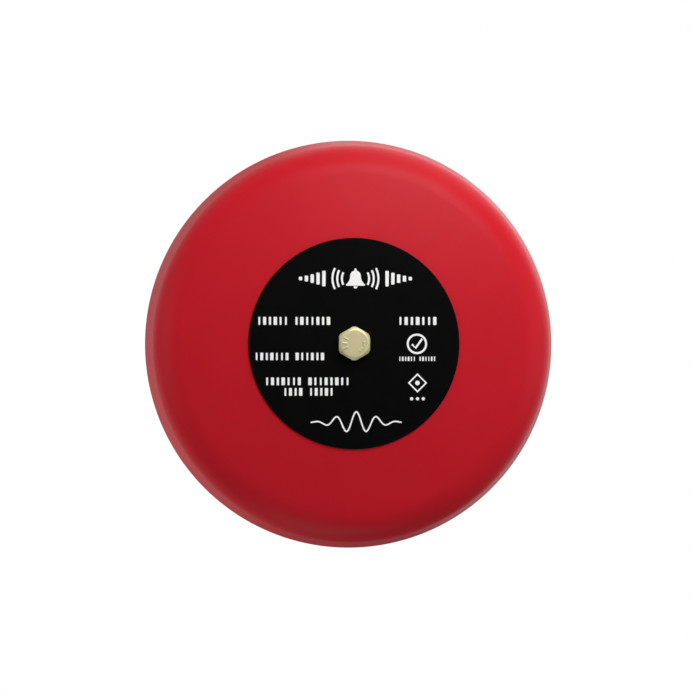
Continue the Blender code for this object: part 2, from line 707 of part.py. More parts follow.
def make_terminal_block(parent, green, zinc):
    """Two screw clamps side by side, with the wires' ways in on the left."""
    seat = BOARD_OUTS[1] + SEAT
    top = seat + TERMINAL_HEIGHT
    block = prism("terminal_block", rectangle(TERMINAL_XS, TERMINAL_UPS), (seat, top), green, parent)
    middle = sum(TERMINAL_XS) / 2
    entry_xs = (TERMINAL_XS[0] - 1, middle - 2.4)
    clamp_outs = (top - 4.3, top - 1.2)
    cuts = []
    for i, up in enumerate((TERMINAL_UPS[0] + 2.5, TERMINAL_UPS[1] - 2.5)):
        cuts.append(tool(f"screw_pocket_{i + 1}", 1.9, (clamp_outs[0] - 0.2, top + 1), parent, (middle, up)))
        entry = rectangle(entry_xs, (up - 1.6, up + 1.6))
        cuts.append(prism(f"wire_entry_{i + 1}", entry, (seat + 1.2, seat + 4.4), None, parent))
        clamp = rod(1.7, clamp_outs, 0.3)
        lathe(f"terminal_screw_{i + 1}", clamp, TINY, zinc, parent, (middle, up, 0))
    combine(block, "DIFFERENCE", cuts)
    keep_edges_crisp(block)


def make_legs(name, at, spread, top, parent):
    """Two wire legs that stand on the board, one above the other."""
    outs = (BOARD_OUTS[1] + SEAT, top)
    ups = (at[1] - spread, at[1] + spread)
    return [tool(f"{name}_leg_{i + 1}", 0.35, outs, parent, (at[0], up), 8) for i, up in enumerate(ups)]


def make_suppressor(parent, blue):
    """A disc that clamps voltage spikes, standing on its legs."""
    x, up = SUPPRESSOR_AT
    out = BOARD_OUTS[1] + 5.8
    radius, half, chamfer = 4.4, 1.7, 0.8
    profile = rod(radius, (-half, half), chamfer)
    on_edge = (0, math.pi / 2, 0)
    disc = lathe("surge_suppressor", profile, SMALL, blue, parent, (x, up, out), on_edge)
    legs = make_legs("suppressor", (x, up), 2.5, out - 2.0, parent)
    combine(disc, "UNION", legs)
    keep_edges_crisp(disc)


def make_diode(parent, black):
    """The diode that blocks the supervising current. It lies along its leads."""
    x, up = DIODE_AT
    out = BOARD_OUTS[1] + 2.2
    body, wire, half_body, half_span = 1.35, 0.4, 2.6, 4.6
    profile = [
        (0, -half_span),
        (wire, -half_span),
        (wire, -half_body),
        (body, -half_body),
        (body, half_body),
        (wire, half_body),
        (wire, half_span),
        (0, half_span),
    ]
    diode = lathe("polarity_diode", profile, 12, black, parent, (x, up, out), (math.pi / 2, 0, 0))
    legs = make_legs("diode", (x, up), half_span - 0.5, out, parent)
    combine(diode, "UNION", legs)
    keep_edges_crisp(diode)


def make_lead(name, side, finish, parent):
    """A wire from a brush's tab, along the flange and up to the board."""
    lie = FLANGE_OUT + LEAD_RADIUS + 0.25
    above = BOARD_OUTS[1] + 3.0
    path = [
        (3.8, MOTOR_UP + 6.4, lie - 0.35),
        (3.8, MOTOR_UP + 11.0, lie - 0.2),
        (3.7, MOTOR_UP + 17.0, lie - 0.1),
        (7.2, -17.0, lie),
        (12.6, -13.2, lie),
        (15.4, -6.0, lie),
        (15.6, 2.0, lie + 0.2),
        (15.2, 7.0, lie + 2.0),
        (13.8, 10.4, above),
        (12.0, 13.4, above + 0.1),
        (11.6, 15.2, above - 1.2),
        (11.6, 15.4, BOARD_OUTS[1] + SEAT),
    ]
    data = bpy.data.curves.new(name, "CURVE")
    data.dimensions = "3D"
    data.bevel_depth = LEAD_RADIUS * MM
    data.bevel_resolution = 1
    data.use_fill_caps = True
    spline = data.splines.new("NURBS")
    spline.points.add(len(path) - 1)
    for point, (x, up, out) in zip(spline.points, path):
        point.co = (side * x * MM, up * MM, out * MM, 1)
    spline.order_u = 3
    spline.use_endpoint_u = True
    spline.resolution_u = 2
    return add_object(name, data, finish, parent)


def build_bell():
    clear_scene()
    paint = material("red_powder_coat", (0.60, 0.018, 0.035), 0.32)
    black_film = material("black_label_film", (0.004, 0.004, 0.004), 0.35)
    yellow_zinc = material("yellow_zinc", (0.52, 0.46, 0.26), 0.35, 0.9)
    zinc = material("bright_zinc", (0.60, 0.61, 0.62), 0.35, 0.9)
    steel = material("steel", (0.45, 0.45, 0.46), 0.3, 1.0)
    laminations = material("armature_steel", (0.22, 0.22, 0.23), 0.45, 0.9)
    brass = material("brass", (0.62, 0.45, 0.18), 0.3, 1.0)
    bronze = material("bronze", (0.50, 0.33, 0.16), 0.4, 1.0)
    copper = material("copper", (0.60, 0.24, 0.12), 0.35, 0.9)
    rubber = material("black_rubber", (0.02, 0.02, 0.02), 0.8)
    plastic = material("black_plastic", (0.025, 0.025, 0.027), 0.5)
    nylon = material("natural_nylon", (0.72, 0.70, 0.62), 0.45)
    ferrite = material("ferrite", (0.06, 0.06, 0.065), 0.7)
    laminate = material("board_laminate", (0.02, 0.16, 0.06), 0.4)
    green = material("green_plastic", (0.03, 0.22, 0.06), 0.45)
    blue = material("blue_lacquer", (0.03, 0.08, 0.35), 0.4)
    red_wire = material("red_insulation", (0.50, 0.02, 0.02), 0.45)
    black_wire = material("black_insulation", (0.02, 0.02, 0.02), 0.45)

    wall_frame = empty("wall_frame", turn=(math.pi / 2, 0, 0))
    motor_frame = empty("motor_frame", wall_frame, (0, MOTOR_UP, 0))
    rotor_axis = empty("rotor_axis", wall_frame, (0, MOTOR_UP, 0))
    left_axis = empty("left_hammer_axis", rotor_axis, (-PIVOT_OFFSET, 0, 0))
    right_axis = empty("right_hammer_axis", rotor_axis, (PIVOT_OFFSET, 0, 0))

    label_out = make_gong(wall_frame, paint, black_film)
    make_bolt(wall_frame, label_out + FIT, yellow_zinc)
    washers_out = make_washers(wall_frame, rubber, zinc)
    make_post(wall_frame, washers_out - FIT, zinc)
    make_base_plate(wall_frame, zinc, rubber)
    make_chassis(wall_frame, plastic, zinc)
    make_can(motor_frame, zinc, zinc)
    make_end_cap(motor_frame, plastic, bronze)
    make_magnets(motor_frame, ferrite)
    make_rotor(rotor_axis, steel, laminations, copper, nylon, zinc)
    make_hammer("hammer_left", left_axis, steel, brass)
    make_hammer("hammer_right", right_axis, steel, brass)
    make_circuit_board(wall_frame, laminate, zinc)
    make_terminal_block(wall_frame, green, zinc)
    make_suppressor(wall_frame, blue)
    make_diode(wall_frame, plastic)
    make_lead("lead_positive", 1, red_wire, wall_frame)
    make_lead("lead_negative", -1, black_wire, wall_frame)


build_bell()
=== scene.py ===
"""Looks of the six-inch fire alarm bell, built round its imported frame.

Shapes are drawn in millimetres, with x to the right, y up and z out of the wall, as someone in
front of the bell sees it. finished() turns them into the frame. In names, UP is a height above the
gong's axis and OUT a distance from the wall, and an OUTS pair is a piece's near and far face.
Places and sizes come from the boxes of the CAD nodes that the pieces stand for.
"""

import json
import math

import bmesh
import bpy
from mathutils import Matrix, Vector


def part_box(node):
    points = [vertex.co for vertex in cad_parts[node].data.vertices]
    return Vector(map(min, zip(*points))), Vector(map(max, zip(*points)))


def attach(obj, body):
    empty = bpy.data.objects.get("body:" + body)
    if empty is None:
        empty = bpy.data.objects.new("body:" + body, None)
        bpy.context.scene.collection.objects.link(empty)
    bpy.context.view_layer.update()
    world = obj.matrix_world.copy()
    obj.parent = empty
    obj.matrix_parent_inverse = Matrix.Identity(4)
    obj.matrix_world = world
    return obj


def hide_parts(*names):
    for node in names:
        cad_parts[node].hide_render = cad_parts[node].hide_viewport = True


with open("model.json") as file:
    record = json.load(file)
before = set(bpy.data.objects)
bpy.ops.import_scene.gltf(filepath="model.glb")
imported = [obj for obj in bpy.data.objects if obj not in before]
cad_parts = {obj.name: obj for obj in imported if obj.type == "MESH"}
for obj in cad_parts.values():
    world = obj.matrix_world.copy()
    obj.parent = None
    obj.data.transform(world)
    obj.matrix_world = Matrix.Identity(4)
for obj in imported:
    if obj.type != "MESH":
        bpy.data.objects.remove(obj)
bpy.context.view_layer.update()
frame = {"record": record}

MM = 0.001
TO_FRAME = Matrix.Rotation(math.pi / 2, 4, "X") @ Matrix.Scale(MM, 4)
ROUND = 96
SMALL_ROUND = 48
SHARP_ABOVE = 40
SLIVER = 0.002
GAP_SIDES = 6

BODY_OF = {node: body for body, nodes in frame["record"]["behaviour"]["bodies"].items() for node in nodes}
SLOT_OF = {part["node"]: part["material_slot"] for part in frame["record"]["subparts"]}
CHASSIS_SCREWS = [f"chassis_screw_{number}" for number in (1, 2, 3)]
MOTOR_SCREWS = ("motor_screw_left", "motor_screw_right")
BOARD_SCREWS = ("board_screw_left", "board_screw_right")


class Extent:
    """A CAD node's box in millimetres, as seen from in front of the bell."""

    def __init__(self, node):
        low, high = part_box(node)
        self.xs = (low.x / MM, high.x / MM)
        self.ups = (low.z / MM, high.z / MM)
        self.outs = (-high.y / MM, -low.y / MM)
        self.near, self.far = self.outs
        self.radius = (self.xs[1] - self.xs[0]) / 2
        self.at = (sum(self.xs) / 2, sum(self.ups) / 2)


# ---------------------------------------------------------------- outlines and profiles


def polar(centre, radius, degrees):
    turn = math.radians(degrees)
    return (centre[0] + radius * math.cos(turn), centre[1] + radius * math.sin(turn))


def arc(centre, radius, start, end, steps):
    """Points from start to end, in degrees, both ends included."""
    return [polar(centre, radius, start + (end - start) * i / steps) for i in range(steps + 1)]


def circle(centre, radius, steps=48):
    return arc(centre, radius, 0, 360, steps)[:-1]


def lobed(centre, radius, depth, lobes, steps=120):
    """A circle whose edge swells outwards in rounded lobes."""
    points = []
    for i in range(steps):
        degrees = 360 * i / steps
        swell = (0.5 + 0.5 * math.cos(math.radians(lobes * degrees))) ** 2
        points.append(polar(centre, radius + depth * swell, degrees))
    return points


def rectangle(xs, ups):
    return [(xs[0], ups[0]), (xs[1], ups[0]), (xs[1], ups[1]), (xs[0], ups[1])]


def rounded_rectangle(xs, ups, radius, steps=5):
    corners = ((xs[1], ups[1], 0), (xs[0], ups[1], 90), (xs[0], ups[0], 180), (xs[1], ups[0], 270))
    middle = (sum(xs) / 2, sum(ups) / 2)
    points = []
    for x, up, start in corners:
        centre = (x - math.copysign(radius, x - middle[0]), up - math.copysign(radius, up - middle[1]))
        points += arc(centre, radius, start, start + 90, steps)
    return points


def obround(low, high, radius, steps=16):
    """Two half circles, one above the other."""
    return arc(high, radius, 0, 180, steps) + arc(low, radius, 180, 360, steps)


def lying_obround(half_length, radius, centre, steps=16):
    """Two half circles side by side."""
    x, up = centre
    right = arc((x + half_length, up), radius, -90, 90, steps)
    return right + arc((x - half_length, up), radius, 90, 270, steps)


def stroke(points, width):
    """The outline of a line of this width through the points."""
    left, right = [], []
    for i, point in enumerate(points):
        ahead = Vector(points[min(i + 1, len(points) - 1)])
        along = (ahead - Vector(points[max(i - 1, 0)])).normalized()
        side = Vector((-along.y, along.x)) * width / 2
        left.append(tuple(Vector(point) + side))
        right.append(tuple(Vector(point) - side))
    return left + right[::-1]


def cross_outline(half_length, half_width):
    """A plus sign."""
    a, b = half_length, half_width
    half = [(a, -b), (a, b), (b, b), (b, a), (-b, a), (-b, b)]
    return half + [(-x, -up) for x, up in half]


def shifted(outline, at):
    return [(x + at[0], up + at[1]) for x, up in outline]


def rod(radius, outs):
    return [(0, outs[0]), (radius, outs[0]), (radius, outs[1]), (0, outs[1])]


def ring(inner, outer, outs):
    return [(inner, outs[0]), (outer, outs[0]), (outer, outs[1]), (inner, outs[1])]


def soften(profile, radius, steps=4):
    """Rounds a profile's corners. Ends that lie on the axis stay as they are."""
    closed = profile[0][0] > 0
    softened = []
    for i, point in enumerate(profile):
        here = Vector(point)
        back = Vector(profile[i - 1]) - here
        on = Vector(profile[(i + 1) % len(profile)]) - here
        at_end = not closed and i in (0, len(profile) - 1)
        if at_end or back.angle(-on) < math.radians(15):
            softened.append(point)
            continue
        cut = min(radius, 0.45 * back.length, 0.45 * on.length)
        start, end = here + back.normalized() * cut, here + on.normalized() * cut
        for step in range(steps + 1):
            t = step / steps
            softened.append(tuple((1 - t) ** 2 * start + 2 * t * (1 - t) * here + t**2 * end))
    return softened


# ---------------------------------------------------------------- meshes


def mesh_from(shape):
    """A mesh of the bmesh, which is used up."""
    mesh = bpy.data.meshes.new("shape")
    shape.to_mesh(mesh)
    shape.free()
    return mesh


def shape_from(*meshes):
    shape = bmesh.new()
    for mesh in meshes:
        shape.from_mesh(mesh)
    return shape


def closed_mesh(shape):
    bmesh.ops.remove_doubles(shape, verts=shape.verts, dist=1e-4)
    bmesh.ops.recalc_face_normals(shape, faces=shape.faces)
    return mesh_from(shape)


def lathe(profile, at=(0, 0), segments=ROUND):
    """A solid turned about the out axis from (radius, out) points."""
    shape = bmesh.new()
    points = [shape.verts.new((r, 0, out)) for r, out in profile]
    edges = [shape.edges.new(pair) for pair in zip(points, points[1:])]
    if profile[0][0] > 0:
        edges.append(shape.edges.new((points[-1], points[0])))
    bmesh.ops.spin(
        shape,
        geom=points + edges,
        cent=(0, 0, 0),
        axis=(0, 0, 1),
        angle=math.tau,
        steps=segments,
        use_merge=True,
    )
    bmesh.ops.translate(shape, verts=shape.verts, vec=(*at, 0))
    return closed_mesh(shape)


def placed(data, name="helper"):
    """An object in the scene. Those named helper are used up as shapes are made."""
    made = bpy.data.objects.new(name, data)
    bpy.context.scene.collection.objects.link(made)
    return made


def evaluated(made):
    """The mesh of a helper after its modifiers. The helper is used up."""
    graph = bpy.context.evaluated_depsgraph_get()
    mesh = bpy.data.meshes.new_from_object(made.evaluated_get(graph), depsgraph=graph)
    bpy.data.objects.remove(made)
    return mesh


def plate(outline, outs, holes=(), edge=0.15, steps=2):
    """A flat piece from closed outlines, with rounded edges, also round its holes."""
    curve = bpy.data.curves.new("plate", "CURVE")
    curve.dimensions = "2D"
    curve.fill_mode = "BOTH"
    curve.extrude = (outs[1] - outs[0]) / 2 - edge
    curve.bevel_depth = edge
    curve.bevel_resolution = steps
    curve.offset = -edge
    for loop in (outline, *holes):
        spline = curve.splines.new("POLY")
        spline.points.add(len(loop) - 1)
        spline.use_cyclic_u = True
        for point, (x, up) in zip(spline.points, loop):
            point.co = (x, up, 0, 1)
    shape = shape_from(evaluated(placed(curve)))
    bmesh.ops.translate(shape, verts=shape.verts, vec=(0, 0, sum(outs) / 2))
    return closed_mesh(shape)


def wire(path, radius, smooth=True, resolution=8):
    """A round wire through points of (x, up, out)."""
    curve = bpy.data.curves.new("wire", "CURVE")
    curve.dimensions = "3D"
    curve.bevel_depth = radius
    curve.bevel_resolution = 4
    curve.use_fill_caps = True
    spline = curve.splines.new("NURBS" if smooth else "POLY")
    spline.points.add(len(path) - 1)
    for point, place in zip(spline.points, path):
        point.co = (*place, 1)
    if smooth:
        spline.order_u = 3
        spline.use_endpoint_u = True
        spline.resolution_u = resolution
    shape = shape_from(evaluated(placed(curve)))
    return closed_mesh(shape)


def cleaned(mesh):
    """The mesh without the slivers that cuts and bevels leave, or gaps where they were."""
    shape = shape_from(mesh)
    bmesh.ops.remove_doubles(shape, verts=shape.verts, dist=SLIVER)
    bmesh.ops.dissolve_degenerate(shape, edges=shape.edges, dist=SLIVER)
    open_edges = [edge for edge in shape.edges if edge.is_boundary]
    bmesh.ops.holes_fill(shape, edges=open_edges, sides=GAP_SIDES)
    return mesh_from(shape)


def boolean(mesh, operation, *tools):
    """The mesh joined to its tools, or cut by them."""
    target = placed(mesh)
    others = [placed(tool) for tool in tools]
    for other in others:
        change = target.modifiers.new("boolean", "BOOLEAN")
        change.operation = operation
        change.solver = "EXACT"
        change.object = other
    made = evaluated(target)
    for other in others:
        bpy.data.objects.remove(other)
    return cleaned(made)


def cut(mesh, *tools):
    return boolean(mesh, "DIFFERENCE", *tools)


def join(mesh, *tools):
    return boolean(mesh, "UNION", *tools)


def bevelled(mesh, width, above=50, segments=2):
    """The mesh with its sharp edges rounded."""
    target = placed(mesh)
    change = target.modifiers.new("bevel", "BEVEL")
    change.width = width
    change.segments = segments
    change.limit_method = "ANGLE"
    change.angle_limit = math.radians(above)
    return cleaned(evaluated(target))


def together(meshes):
    """Separate shapes as one mesh."""
    return mesh_from(shape_from(*meshes))


def moved(mesh, by=(0, 0, 0), turn=None):
    mesh.transform(Matrix.Translation(by) @ (turn.to_4x4() if turn else Matrix.Identity(4)))
    return mesh


def turned(mesh, degrees, at, out=0):
    """The mesh turned about the out axis through the origin, then moved to a place."""
    return moved(mesh, (*at, out), Matrix.Rotation(math.radians(degrees), 3, "Z"))


def peg(radius, outs, at, edge=0.0):
    """A small round solid, with its ends rounded if edge is given."""
    profile = rod(radius, outs)
    return lathe(soften(profile, edge) if edge else profile, at, SMALL_ROUND)


def collar(inner, outer, outs, edge, at):
    """A small ring with rounded corners."""
    return lathe(soften(ring(inner, outer, outs), edge), at, SMALL_ROUND)


def extruded_up(outline, ups, edge=0.15):
    """A piece with this (x, out) outline, between two heights."""
    swap = Matrix(((1, 0, 0, 0), (0, 0, 1, 0), (0, 1, 0, 0), (0, 0, 0, 1)))
    mesh = plate(outline, ups, edge=edge)
    mesh.transform(swap)
    mesh.flip_normals()
    return mesh


def extruded_across(outline, xs, edge=0.03):
    """A piece with this (up, out) outline, between two places along x."""
    cycle = Matrix(((0, 0, 1, 0), (1, 0, 0, 0), (0, 1, 0, 0), (0, 0, 0, 1)))
    mesh = plate(outline, xs, edge=edge)
    mesh.transform(cycle)
    return mesh


# ---------------------------------------------------------------- materials


def add_node(tree, kind, inputs, **settings):
    """A shader node whose inputs are given as values, or as sockets to link them to."""
    made = tree.nodes.new(kind)
    for name, value in settings.items():
        setattr(made, name, value)
    for name, value in inputs.items():
        if isinstance(value, bpy.types.NodeSocket):
            tree.links.new(value, made.inputs[name])
        else:
            made.inputs[name].default_value = value
    return made


def stretched(tree, socket, across, onto, **settings):
    """The socket's value with the range across mapped to the range onto, and clamped."""
    inputs = dict(zip(("From Min", "From Max", "To Min", "To Max"), (*across, *onto)), Value=socket)
    return add_node(tree, "ShaderNodeMapRange", inputs, **settings).outputs["Result"]


class Finish:
    """A material whose nodes work in millimetres of the piece's own space."""

    def __init__(self, name, colour, roughness, metallic=0.0, **inputs):
        self.name = name
        self.material = bpy.data.materials.new(name)
        self.material.use_nodes = True
        self.material.diffuse_color = (*colour, 1)
        self.tree = self.material.node_tree
        self.inputs = self.tree.nodes["Principled BSDF"].inputs
        self.colour = (*colour, 1)
        self.inputs["Base Color"].default_value = self.colour
        self.inputs["Roughness"].default_value = roughness
        self.inputs["Metallic"].default_value = metallic
        for socket, value in inputs.items():
            self.inputs[socket.replace("_", " ")].default_value = value
        place = self.node("ShaderNodeTexCoord", {}).outputs["Object"]
        scaled = self.node("ShaderNodeVectorMath", {0: place, "Scale": 1 / MM}, operation="SCALE")
        self.place = scaled.outputs[0]
        self.last_bump = None

    def node(self, kind, inputs, **settings):
        return add_node(self.tree, kind, inputs, **settings)

    def noise(self, size, detail=2.0, stretch=(1, 1, 1)):
        """A 0 to 1 pattern of blots about this many millimetres across, longer where stretch is."""
        shrink = [1 / s for s in stretch]
        place = self.node("ShaderNodeMapping", {"Scale": shrink, "Vector": self.place}).outputs[0]
        inputs = {"Scale": 1 / size, "Detail": detail, "Vector": place}
        return self.node("ShaderNodeTexNoise", inputs).outputs["Fac"]

    def bands(self, pitch, direction):
        """A 0 to 1 wave along X, Y or Z of the frame."""
        inputs = {"Scale": math.pi / (10 * pitch), "Vector": self.place}
        texture = self.node("ShaderNodeTexWave", inputs, wave_type="BANDS", bands_direction=direction)
        return texture.outputs["Fac"]

    def cells(self, size):
        """The distance to the nearest of scattered points, for grains."""
        texture = self.node("ShaderNodeTexVoronoi", {"Scale": 1 / size, "Vector": self.place})
        return texture.outputs["Distance"]

    def blend_colour(self, factor, other):
        """Mixes another colour in where factor is 1."""
        base = self.inputs["Base Color"]
        under = base.links[0].from_socket if base.is_linked else self.colour
        inputs = {"A": under, "B": (*other, 1), "Factor": factor}
        mix = self.node("ShaderNodeMix", inputs, data_type="RGBA")
        self.tree.links.new(mix.outputs["Result"], base)

    def drift(self, size, detail, edges, most, other):
        """Lets another colour in, up to most of it, where blots of this size rise past the edges."""
        self.blend_colour(stretched(self.tree, self.noise(size, detail), edges, (0, most)), other)

    def vary_roughness(self, socket, low, high):
        rough = stretched(self.tree, socket, (0.3, 0.7), (low, high))
        self.tree.links.new(rough, self.inputs["Roughness"])

    def bump(self, socket, depth):
        """Raises the surface by up to depth millimetres where the pattern is 1."""
        inputs = {"Distance": depth * MM, "Height": socket}
        if self.last_bump:
            inputs["Normal"] = self.last_bump
        self.last_bump = self.node("ShaderNodeBump", inputs).outputs["Normal"]
        self.tree.links.new(self.last_bump, self.inputs["Normal"])
        return self


def powder_coat():
    """Satin polyester powder: an even colour with a fine orange peel."""
    made = Finish("red_powder_coat", (0.56, 0.0100, 0.0205), 0.42, Specular_IOR_Level=0.13)
    made.drift(22, 3, (0.35, 0.65), 0.6, (0.53, 0.0092, 0.0186))
    made.vary_roughness(made.noise(1.6), 0.38, 0.46)
    made.bump(made.noise(2.4, 1), 0.03)
    return made.bump(made.noise(0.55, 2), 0.008)


def label_film():
    made = Finish("black_label_film", (0.0012, 0.0012, 0.0013), 0.42, Specular_IOR_Level=0.06)
    made.vary_roughness(made.noise(6, 3), 0.38, 0.48)
    return made.bump(made.noise(3.5, 2), 0.003)


def white_ink():
    made = Finish("white_ink", (0.97, 0.97, 0.96), 0.55, Specular_IOR_Level=0.3)
    made.drift(0.6, 3, (0.5, 0.75), 0.5, (0.90, 0.90, 0.90))
    return made.bump(made.noise(0.35, 2), 0.004)


def yellow_zinc():
    """Chromate over forged steel: dull, with a drift from green to pink."""
    made = Finish("yellow_zinc", (0.76, 0.68, 0.38), 0.40, 0.5)
    made.drift(2.6, 2, (0.45, 0.7), 0.7, (0.70, 0.68, 0.41))
    made.drift(3.8, 2, (0.5, 0.75), 0.6, (0.77, 0.65, 0.43))
    made.vary_roughness(made.noise(0.9, 3), 0.36, 0.5)
    return made.bump(made.noise(0.7, 3), 0.012)


def bright_zinc():
    """Zinc plate over rolled sheet: a cool grey with faint rolling lines and clouding."""
    made = Finish("bright_zinc", (0.66, 0.67, 0.68), 0.34, 0.6)
    made.drift(9, 4, (0.4, 0.65), 0.7, (0.58, 0.605, 0.635))
    made.drift(3, 4, (0.6, 0.8), 0.35, (0.70, 0.68, 0.60))
    made.vary_roughness(made.noise(4.5, 4), 0.27, 0.44)
    made.bump(made.noise(0.35, 2, (1, 1, 14)), 0.0025)
    return made.bump(made.noise(2.2, 2), 0.006)


def ground_steel():
    made = Finish("steel", (0.46, 0.46, 0.47), 0.3, 1.0)
    made.drift(2.5, 3, (0.5, 0.75), 0.6, (0.36, 0.355, 0.35))
    made.vary_roughness(made.noise(0.8, 3, (1, 1, 6)), 0.24, 0.42)
    return made.bump(made.noise(0.12, 2, (1, 1, 20)), 0.002)


def laminated_steel():
    """Stacked punchings, with a dark seam between each."""
    made = Finish("armature_steel", (0.22, 0.22, 0.23), 0.45, 0.9)
    seams = made.bands(0.5, "Y")
    made.blend_colour(stretched(made.tree, seams, (0.0, 0.25), (1, 0)), (0.06, 0.055, 0.05))
    made.vary_roughness(made.noise(0.6, 2), 0.38, 0.55)
    return made.bump(seams, 0.03)


def turned_brass():
    """Bar stock off a lathe, a little tarnished."""
    made = Finish("brass", (0.64, 0.46, 0.19), 0.28, 1.0)
    made.drift(3, 4, (0.48, 0.75), 0.7, (0.46, 0.30, 0.11))
    made.vary_roughness(made.noise(1.5, 3), 0.22, 0.4)
    return made.bump(made.noise(0.1, 1, (30, 1, 30)), 0.003)


def bronze():
    made = Finish("bronze", (0.50, 0.33, 0.16), 0.4, 1.0)
    made.drift(0.5, 3, (0.5, 0.7), 0.8, (0.30, 0.19, 0.09))
    return made.bump(made.cells(0.16), 0.01)


def enamelled_copper():
    made = Finish("copper", (0.60, 0.24, 0.12), 0.3, 0.85, Coat_Weight=0.6, Coat_Roughness=0.15)
    made.drift(1.2, 2, (0.45, 0.7), 0.6, (0.50, 0.17, 0.08))
    return made.bump(made.noise(0.3, 2), 0.006)


def black_rubber():
    made = Finish("black_rubber", (0.022, 0.022, 0.022), 0.78, Specular_IOR_Level=0.35)
    made.drift(2.5, 4, (0.5, 0.75), 0.5, (0.045, 0.044, 0.042))
    return made.bump(made.noise(0.25, 3), 0.02)


def moulded(name, colour, streak, roughness, grain=0.012, **inputs):
    """Injection-moulded plastic with a fine spark-eroded grain and faint flow marks."""
    made = Finish(name, colour, roughness, **inputs)
    made.drift(7, 3, (0.45, 0.7), 0.5, streak)
    made.vary_roughness(made.noise(0.9, 2), roughness - 0.05, roughness + 0.07)
    return made.bump(made.noise(0.18, 3), grain)


def natural_nylon():
    """Unpigmented, so a little light passes into it."""
    return moulded(
        "natural_nylon", (0.74, 0.71, 0.62), (0.80, 0.78, 0.70), 0.42, 0.006, Subsurface_Weight=0.12
    )


def ferrite():
    made = Finish("ferrite", (0.06, 0.06, 0.065), 0.65)
    made.drift(0.4, 3, (0.55, 0.75), 0.6, (0.12, 0.12, 0.125))
    return made.bump(made.noise(0.2, 3), 0.02)


def board_laminate():
    """Green mask over glass cloth, whose weave shows faintly."""
    made = Finish("board_laminate", (0.012, 0.14, 0.05), 0.3, Coat_Weight=0.5, Coat_Roughness=0.12)
    made.drift(3.5, 3, (0.45, 0.7), 0.6, (0.02, 0.18, 0.065))
    made.bump(made.bands(0.35, "X"), 0.004)
    return made.bump(made.bands(0.35, "Z"), 0.004)


def tinned():
    """Solder and tinned wire."""
    made = Finish("tinned", (0.68, 0.68, 0.66), 0.25, 1.0)
    made.drift(0.5, 3, (0.5, 0.75), 0.5, (0.5, 0.5, 0.48))
    return made.bump(made.noise(0.25, 2), 0.01)


def make_finishes():
    """Materials by name. The names are the record's slots, apart from white_ink and tinned."""
    made = [
        powder_coat(),
        label_film(),
        yellow_zinc(),
        bright_zinc(),
        ground_steel(),
        laminated_steel(),
        turned_brass(),
        bronze(),
        enamelled_copper(),
        black_rubber(),
        ferrite(),
        board_laminate(),
        white_ink(),
        tinned(),
        moulded("black_plastic", (0.022, 0.022, 0.024), (0.032, 0.032, 0.033), 0.48),
        natural_nylon(),
        moulded("green_plastic", (0.02, 0.20, 0.05), (0.03, 0.25, 0.07), 0.38, 0.006),
        moulded("blue_lacquer", (0.015, 0.055, 0.30), (0.02, 0.075, 0.36), 0.25, 0.004),
        moulded("red_insulation", (0.50, 0.018, 0.018), (0.44, 0.014, 0.014), 0.4, 0.004),
        moulded("black_insulation", (0.02, 0.02, 0.02), (0.03, 0.03, 0.03), 0.4, 0.004),
    ]
    return {finish.name: finish.material for finish in made}


FINISHES = make_finishes()


# ---------------------------------------------------------------- pieces


def finished(name, mesh, finish, body="bell_base", sharp_above=SHARP_ABOVE):
    """Turns a drawn mesh into a piece that rides on a body."""
    mesh.name = name
    mesh.transform(TO_FRAME)
    mesh.shade_smooth()
    mesh.set_sharp_from_angle(angle=math.radians(sharp_above))
    mesh.materials.clear()
    mesh.materials.append(FINISHES[finish])
    piece = placed(mesh, name)
    piece.modifiers.new("even_shading", "WEIGHTED_NORMAL").keep_sharp = True
    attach(piece, body)
    return piece


def stand_in(node, mesh, sharp_above=SHARP_ABOVE):
    """The piece that is shown for a CAD node, on that node's body and in its finish."""
    piece = finished(f"{node}_finished", mesh, SLOT_OF[node], BODY_OF[node], sharp_above)
    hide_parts(node)
    return piece


GONG = Extent("gong")
LABEL = Extent("gong_label")
BOLT = Extent("gong_bolt")
PLATE = Extent("base_plate")
CHASSIS = Extent("chassis")
CAN = Extent("motor_can")
CAP = Extent("motor_end_cap")
SHAFT = Extent("motor_shaft")
BOARD = Extent("circuit_board")
MOTOR_AT = CAN.at

GONG_WALL = 1.8
CROWN_RADIUS = 38.6
GONG_HOLE_RADIUS = 3.6
FACE_SLOPE = math.radians(10)
SKIRT_DRAFT = math.radians(9.65)
SHOULDER_RADIUS = 14.0


def shoulder_arc(face_start, skirt_end, radius, steps):
    """The round between the sloping face and the skirt, given a point on each of the two lines."""
    down_face = Vector((math.cos(FACE_SLOPE), -math.sin(FACE_SLOPE)))
    up_skirt = Vector((-math.sin(SKIRT_DRAFT), math.cos(SKIRT_DRAFT)))
    gap = Vector(skirt_end) - Vector(face_start)
    corner = Vector(face_start) + down_face * (gap.cross(up_skirt) / down_face.cross(up_skirt))
    bend = math.pi / 2 - SKIRT_DRAFT - FACE_SLOPE
    start = corner - down_face * radius * math.tan(bend / 2)
    centre = start - Vector((math.sin(FACE_SLOPE), math.cos(FACE_SLOPE))) * radius
    return arc(centre, radius, 90 - math.degrees(FACE_SLOPE), math.degrees(SKIRT_DRAFT), steps)


